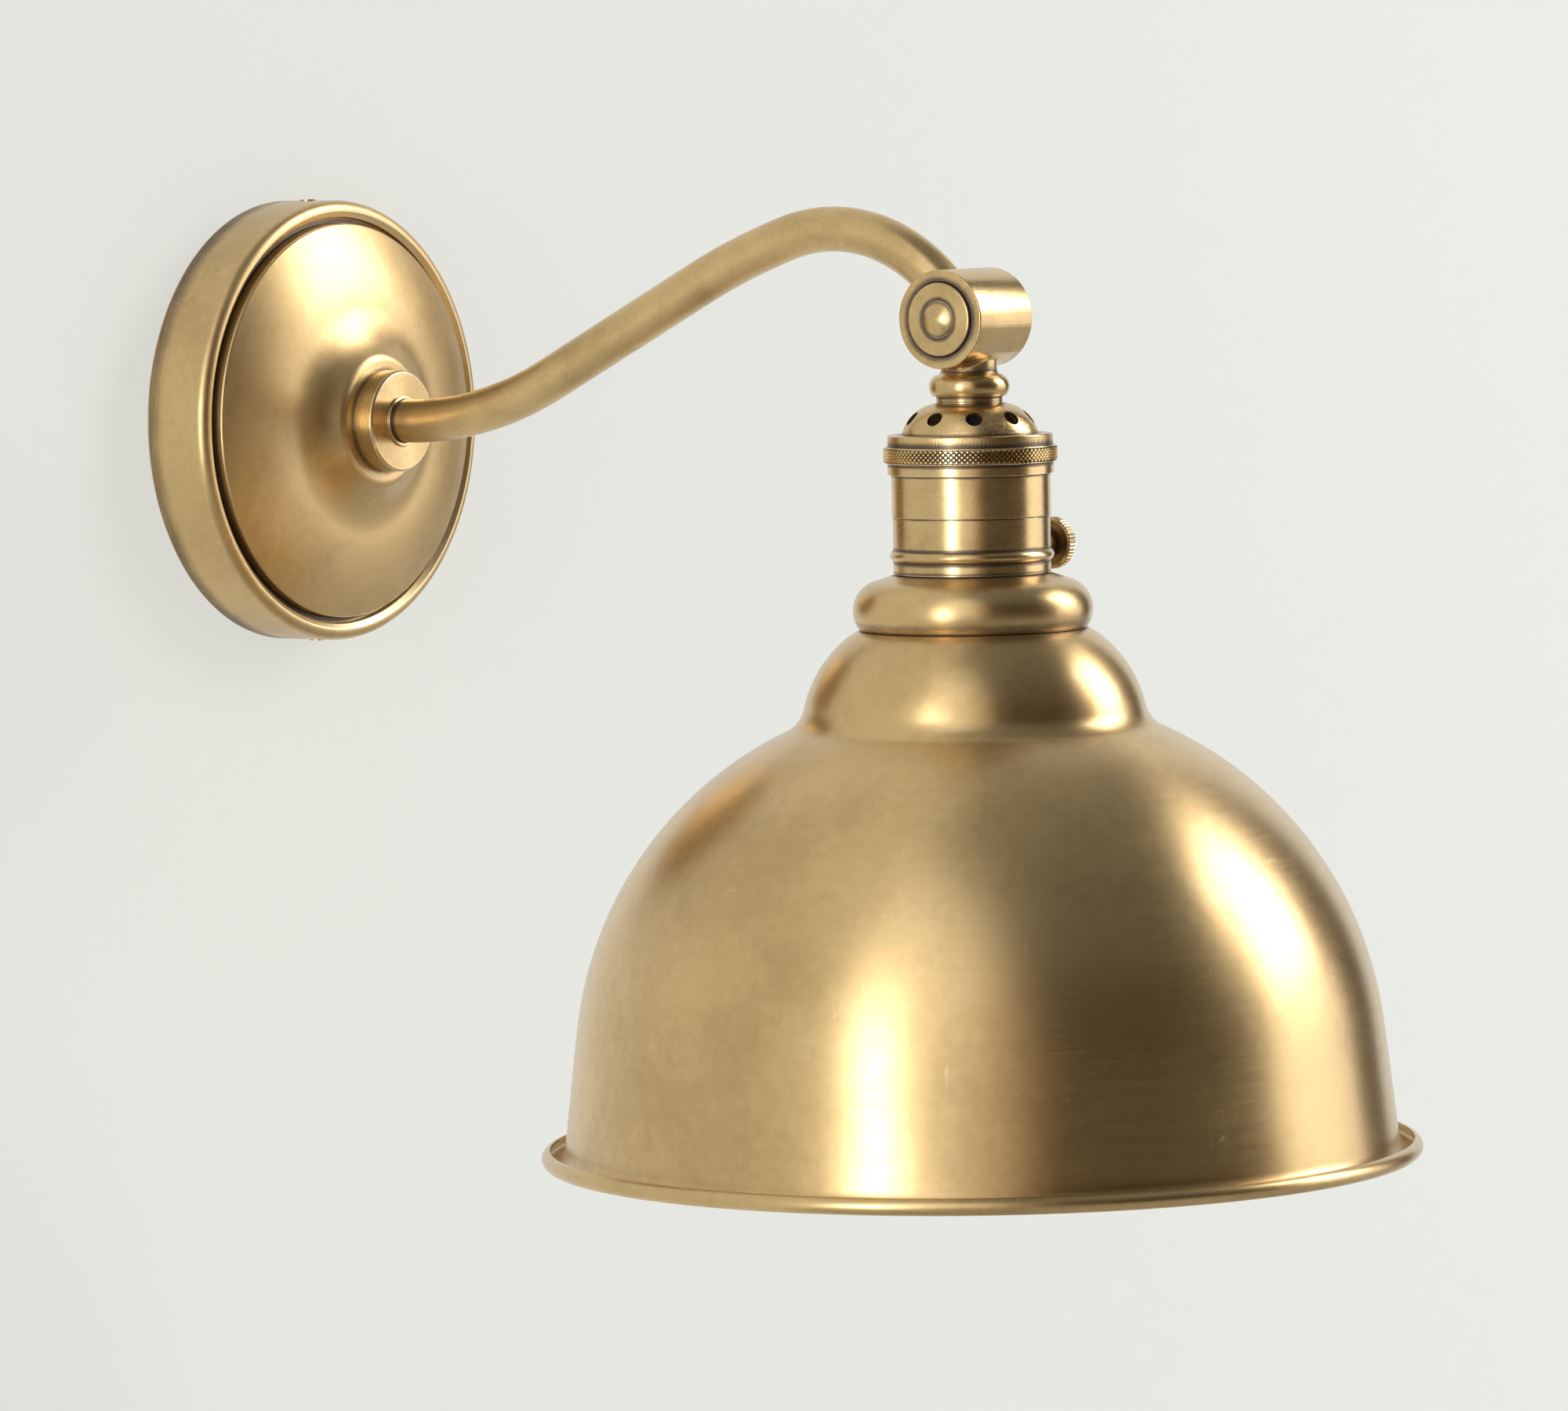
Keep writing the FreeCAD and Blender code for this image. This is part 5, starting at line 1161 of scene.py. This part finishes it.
def stage_world(light):
    """A dim warm room with a pale side and a pale ceiling, and a plain backdrop for the camera."""
    world = bpy.data.worlds.new("Plain room")
    world.use_nodes = True
    n = Nodes(world.node_tree)
    back = world.node_tree.nodes["Background"]
    looking = n.out("ShaderNodeTexCoord", None, "Generated")
    level = n.out("ShaderNodeVectorMath", {0: n.stretched(looking, (1, 1, 0.35))}, operation="NORMALIZE")
    glow = n.out("ShaderNodeVectorMath", {0: level, 1: PALE_SIDE}, "Value", operation="DOT_PRODUCT")
    side = n.ramp(glow, 0.66, 0.96)
    up = n.split(looking)[2]
    ceiling = n.ramp(up, 0.3, 0.95, light.fill, light.ceiling)
    paler = n.most(side, n.ramp(up, 0.2, 0.7))
    n.fill(back.inputs, {"Color": n.mix(paler, (1.0, 0.64, 0.36, 1), (0.95, 0.96, 0.96, 1)),
                         "Strength": n.plus(ceiling, n.times(side, light.side))})
    pale = n.out("ShaderNodeBackground", {"Color": (0.80, 0.81, 0.77, 1), "Strength": 1.0})
    camera = n.out("ShaderNodeLightPath", None, "Is Camera Ray")
    n.feed(world.node_tree.nodes["World Output"].inputs[0], n.mix_shaders(camera, back.outputs[0], pale))
    return world


class SCONCE_OT_stage(bpy.types.Operator):
    """Builds the wall, the floor, the studio light and the camera"""
    bl_idname = "sconce.stage"
    bl_label = "Stage"

    def execute(self, context):
        light = context.scene.sconce_light
        wall, floor = wall_sheet(), floor_sheet()
        wall_paint, floor_paint = tuple(light.wall) + (1,), tuple(light.floor) + (1,)
        wall.data.materials.append(stage_material("Pale wall paint", wall_paint, 0.66, wall_paint))
        floor.data.materials.append(stage_material("Pale floor", floor_paint, 0.6, (0.28, 0.265, 0.25, 1)))
        for name, power, place, width, height in LAMPS:
            lamp = bpy.data.lights.new(name, "AREA")
            lamp.shape = "RECTANGLE"
            lamp.size = width
            lamp.size_y = height
            lamp.energy = getattr(light, power)
            holder = put_in_scene(name, lamp)
            holder.location = place
            holder.rotation_euler = (Vector(LIGHTS_AIM) - Vector(place)).to_track_quat("-Z", "Y").to_euler()
        context.scene.world = stage_world(light)
        context.scene.view_settings.view_transform = "Standard"
        view = bpy.data.cameras.new("photo_view")
        view.lens = VIEW_LENS
        view.sensor_width = 36.0
        view.sensor_fit = "HORIZONTAL"
        view.clip_end = 50.0
        holder = put_in_scene("photo_view", view)
        turn = Matrix((VIEW_RIGHT, VIEW_UP, VIEW_BACK)).transposed()
        holder.matrix_world = Matrix.Translation(VIEW_PLACE) @ turn.to_4x4()
        context.scene.camera = holder
        return {"FINISHED"}


class SCONCE_PT_panel(bpy.types.Panel):
    """Lists the pieces of the sconce in the sidebar"""
    bl_idname = "SCONCE_PT_panel"
    bl_label = "Sconce"
    bl_space_type = "VIEW_3D"
    bl_region_type = "UI"
    bl_category = "Sconce"

    def draw(self, context):
        layout = self.layout
        for group in (context.scene.sconce_finish, context.scene.sconce_shape, context.scene.sconce_light):
            for name in group.__annotations__:
                layout.prop(group, name)
        for operator in OPERATORS:
            layout.operator(operator.bl_idname)


OPERATORS = (SCONCE_OT_canopy, SCONCE_OT_arm, SCONCE_OT_knuckle, SCONCE_OT_cap, SCONCE_OT_socket,
             SCONCE_OT_lampholder, SCONCE_OT_knob, SCONCE_OT_shade, SCONCE_OT_patina_and_shade, SCONCE_OT_stage)
GROUPED = (SconceFinish, SconceShape, SconceLight)


def register():
    for item in GROUPED + OPERATORS + (SCONCE_PT_panel,):
        bpy.utils.register_class(item)
    bpy.types.Scene.sconce_finish = bpy.props.PointerProperty(type=SconceFinish)
    bpy.types.Scene.sconce_shape = bpy.props.PointerProperty(type=SconceShape)
    bpy.types.Scene.sconce_light = bpy.props.PointerProperty(type=SconceLight)


def unregister():
    del bpy.types.Scene.sconce_light
    del bpy.types.Scene.sconce_shape
    del bpy.types.Scene.sconce_finish
    for item in reversed(GROUPED + OPERATORS + (SCONCE_PT_panel,)):
        bpy.utils.unregister_class(item)


def main():
    register()
    for operator in OPERATORS:
        section, name = operator.bl_idname.split(".")
        getattr(getattr(bpy.ops, section), name)()


if __name__ == "__main__":
    main()
